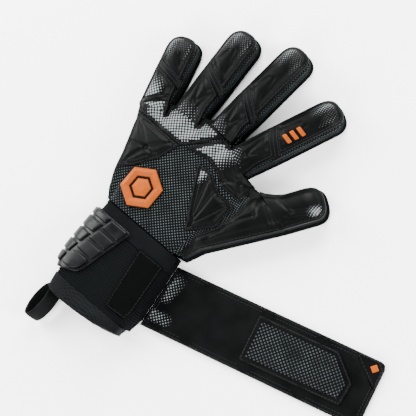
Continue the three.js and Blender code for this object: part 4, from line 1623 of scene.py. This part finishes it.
def guardPlace(s, y, height):
    # a distance round the cuff's section from the middle of its top, and a height off it
    angles = np.linspace(math.pi - 0.001, 0.4, 900)
    section = cuffPoint(angles, np.full_like(angles, guard["sectionY"]), 0.0)[:, [0, 2]]
    steps = np.concatenate([[0], np.cumsum(np.linalg.norm(np.diff(section, axis=0), axis=1))])
    steps = steps - np.interp(guard["shift"], section[:, 0], steps)
    x, z = np.interp(s, steps, section[:, 0]), np.interp(s, steps, section[:, 1])
    dx = np.interp(s + 1, steps, section[:, 0]) - np.interp(s - 1, steps, section[:, 0])
    dz = np.interp(s + 1, steps, section[:, 1]) - np.interp(s - 1, steps, section[:, 1])
    size = np.maximum(np.hypot(dx, dz), 1e-9)
    widening = tableAt(cuff["left"], y) - tableAt(cuff["left"], guard["sectionY"])
    narrowing = widening * np.clip(-s / 20, 0, 1)
    return np.column_stack([x - dz / size * height + narrowing, y, z + dx / size * height])


def guardSide(key, y):
    return float(tableAt(guard[key], y)) - guard["shift"]


def guardBlocks():
    # outlines and corner sizes of the blocks on each side of the guard's middle line
    blocks = []
    for start, end in guard["rightBlocks"]:
        cutOff, corner = (3.5, 4.0) if end < -110 else (0, 1.5)
        sides = [(guardSide("column", y) + 1.0, y) for y in (start, end)]
        sides += [(guardSide("plateRight", y) - 2.2 - cut, y) for y, cut in
                  ((end, cutOff), (end + 4, 0), (start, 0))]
        blocks.append((sides, corner))
    for start, end in guard["leftBlocks"]:
        sides = [(guard["left"] + 1.2, y) for y in (start, end)]
        sides += [(guardSide("column", y) - 1.0, y) for y in (end, start)]
        blocks.append((sides, 1.3))
    return blocks


def makeGuard():
    left = guard["left"]
    right = [(guardSide("plateRight", y), y) for y in (-59, -90, -105, -112)]
    plate = [(left, -59), *right, (-1.5, -116.5), (-14, -119), (left + 2, -117), (left, -104)]
    plate = roundedCorners(plate, 2.5)[::-1]
    pieces = [slab("guard_plate", plate, level(0.5), level(guard["plateTop"]), finishes["guard"], guardPlace,
                   edge=0.8, pitch=1.8)[0]]
    for i, (outline, corner) in enumerate(guardBlocks()):
        top = guard["blockTop"] + (0.5 if i == 3 else 0)  # the last block by the palm is the thickest
        pieces.append(slab(f"guard_block_{i + 1}", roundedCorners(outline, corner),
                           level(guard["plateTop"] + 0.02), level(top), finishes["guard"], guardPlace,
                           edge=guard["edge"], lowEdge=0.0, pitch=1.2)[0])
    for piece in pieces:
        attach(piece, "cuff")
    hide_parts("wrist_guard")


loop = {"length": 33.0, "bulge": 6.5, "wall": 1.5, "width": 15.0, "lean": 65.0}


def makePullLoop():
    # a band of webbing folded into a pointed oval, drawn out along its width
    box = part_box("pull_loop")
    middle = (np.array(box[0]) + np.array(box[1])) / 2 / mm
    lean = math.radians(90 - loop["lean"])
    out = np.array([math.cos(lean), 0, math.sin(lean)])
    up = np.array([-math.sin(lean), 0, math.cos(lean)])
    steps = 72
    angles = 2 * math.pi * np.arange(steps) / steps
    across = np.linspace(-loop["width"] / 2, loop["width"] / 2, 13)

    def surface(angle, v, depth):
        belly = 1 + 0.02 * np.cos(v / loop["width"] * math.pi)
        ends = np.exp(-((np.abs(v) - loop["width"] / 2) / 0.9) ** 2) * (0.25 if depth == 0 else -0.25)
        bulge = (loop["bulge"] - depth - ends) * np.cos(angle) * belly
        along = (loop["length"] / 2 - depth - ends) * np.sin(angle) * belly
        return middle + bulge[:, None] * out + along[:, None] * np.array([0, 1, 0]) + v[:, None] * up

    piece = shapedGrid("pull_loop_webbing", surface, angles, across, finishes["tape"], loop["wall"],
                       ring=True, uv=lambda angle, v: np.column_stack([angle * 12, v]))
    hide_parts("pull_loop")
    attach(piece, "pull_loop")


makeCuff()
makeGuard()
makePullLoop()
print("cuff is ready")

# strap

strap = {
    "length": 195.0, "half": 28.25, "thickness": 4.0, "welt": 5.0, "windowTop": 5.5, "windowWelt": 4.4,
    "cuts": [4.0, 33.0, 88.0, 139.0], "blends": [(-1.5, 3.6), (4.3, 10.5), (53, 67), (110, 124), (154, 168)],
    "hook": [(23.2, 167.5), (23.2, 191), (-23.2, 191), (-23.2, 167.5)],
    "window": [(19.5, 81), (18.5, 174), (-2, 176), (-20.9, 155), (-20.9, 81)],
    "tab": [(-27.7, 166.5), (-4.5, 194.4), (-22.4, 194.4), (-27.7, 189)], "tabTop": 5.4,
    "lozenge": [(-20.6, 183.6), (-16.8, 187.6), (-20.6, 191.6), (-24.4, 187.6)],
}
strapAxis = plane2(joints["strap_tip_fold"]["pos_m"]) - plane2(joints["strap_second_fold"]["pos_m"])
strapAlong = strapAxis / np.linalg.norm(strapAxis)
strapAcross = np.array([strapAlong[1], -strapAlong[0]])
strapRoot = plane2(joints["strap_root_fold"]["pos_m"]) / mm - strapAlong
strapCuts = [((0, place), (0, 1)) for place in strap["cuts"]]
strapEnds = [-50] + strap["cuts"] + [strap["length"] + 50]


def strapPlace(a, b, z):
    plan = strapRoot + a[:, None] * strapAcross + b[:, None] * strapAlong
    return np.column_stack([plan, z])


def bendStrap(piece):
    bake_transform(piece)


def strapInk(points):
    a, b = points[:, 0], points[:, 1]
    upper = (1 - smooth(b + 0.25 * a, -2, 12)) * smooth(-a, -8, 2) * (1 - smooth(-a, 16, 27))
    lower = (1 - smooth(b, 4, 20)) * smooth(a, 9, 14) * (1 - smooth(a, 19, 24))
    return 0.72 * np.maximum(upper, lower) * streaks(points, 60, 11)


def strapHigh(points, rim):
    # one groove inside the welt, and a shallower one beside the binding
    groove = 0.4 * np.exp(-((rim - strap["welt"]) / 0.55) ** 2)
    groove += 0.18 * np.exp(-((rim - 2.2) / 0.45) ** 2)
    return strap["thickness"] - 0.1 - groove


def strapLow(points, rim):
    return 1.5 * smooth(points[:, 1], 163, 167)


def strapPart(outline, index):
    return keepSide(keepSide(outline, (0, strapEnds[index]), (0, 1)), (0, strapEnds[index + 1]), (0, -1))


def makeStrap():
    half, length = strap["half"], strap["length"]
    whole = [(-half, -1.6), (half, -9.4), (half, length - 2), (half - 2, length), (5 - half, length),
             (1.5 - half, length - 1.5), (-half, length - 5)]
    for i in range(5):
        outline = strapPart(whole, i)
        near = [cut for cut in strapCuts if strapEnds[i] - 1 < cut[0][1] < strapEnds[i + 1] + 1]
        piece, surface = slab(f"strap_body_{i + 1}", outline, strapLow, strapHigh, finishes["pad"],
                              strapPlace, cuts=strapCuts, edge=1.3, lowEdge=0.7, pitch=2.0, ink=strapInk,
                              creases=[([(-29, 161), (-3.5, 196)], 0.5, 0.8)] if i == 4 else ())
        rows = [spot for distance in (1.9, 4.3) for spot in rimStitches(surface, outline, distance, near)]
        threads = stitching(f"strap_stitching_{i + 1}", rows)
        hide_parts(f"strap_length_{i + 1}")
        for item in (piece, threads):
            bendStrap(item)
    makeWindow()
    makeStrapEnds()


def windowHigh(points, rim):
    return strap["windowTop"] + 0.55 - 0.75 * smooth(rim, 0.6, 2.2)


def makeWindow():
    # a stitched rim with a mesh panel in it, in the same lengths as the strap
    top = strap["windowTop"]
    whole = roundedCorners(strap["window"], 2.0)
    opening = roundedCorners(inset(strap["window"], strap["windowWelt"]), 1.2)
    for i in (2, 3, 4):
        outline = strapPart(whole, i)
        border, surface = slab(f"strap_window_rim_{i - 1}", outline, level(strap["thickness"] + 0.1),
                               level(top - 0.3), finishes["band"], strapPlace, cuts=strapCuts, edge=0.9,
                               lowEdge=0.1)
        panel, _ = slab(f"strap_window_mesh_{i - 1}", strapPart(opening, i), level(top - 0.6), windowHigh,
                        finishes["window"], strapPlace, cuts=strapCuts, edge=0.5, lowEdge=0.1)
        threads = stitching(f"strap_window_stitching_{i - 1}", rimStitches(surface, outline, 1.3, strapCuts))
        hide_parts(f"strap_window_{i - 1}")
        for item in (border, panel, threads):
            bendStrap(item)


def makeStrapEnds():
    hook, _ = slab("hook_patch_face", strap["hook"], level(0.05), level(1.2), finishes["pile"], strapPlace,
                   edge=0.3, lowEdge=0.4, pitch=1.6)
    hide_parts("hook_patch")
    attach(hook, "strap_5")
    outline = roundedCorners(strap["tab"], 2.0)
    tab, surface = slab("corner_tab_foam", outline, level(strap["thickness"] + 0.1), level(strap["tabTop"]),
                        finishes["pad"], strapPlace, edge=0.8, lowEdge=0.1, pitch=1.4)
    threads = stitching("corner_tab_stitching", rimStitches(surface, outline, 1.1))
    lozenge, _ = slab("corner_tab_lozenge", strap["lozenge"], level(5.42), level(6.0), finishes["orange"],
                      strapPlace, edge=0.4, lowEdge=0.0, pitch=1.0)
    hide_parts("corner_tab")
    for item in (tab, threads, lozenge):
        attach(item, "strap_5")


makeStrap()
print("strap is ready")
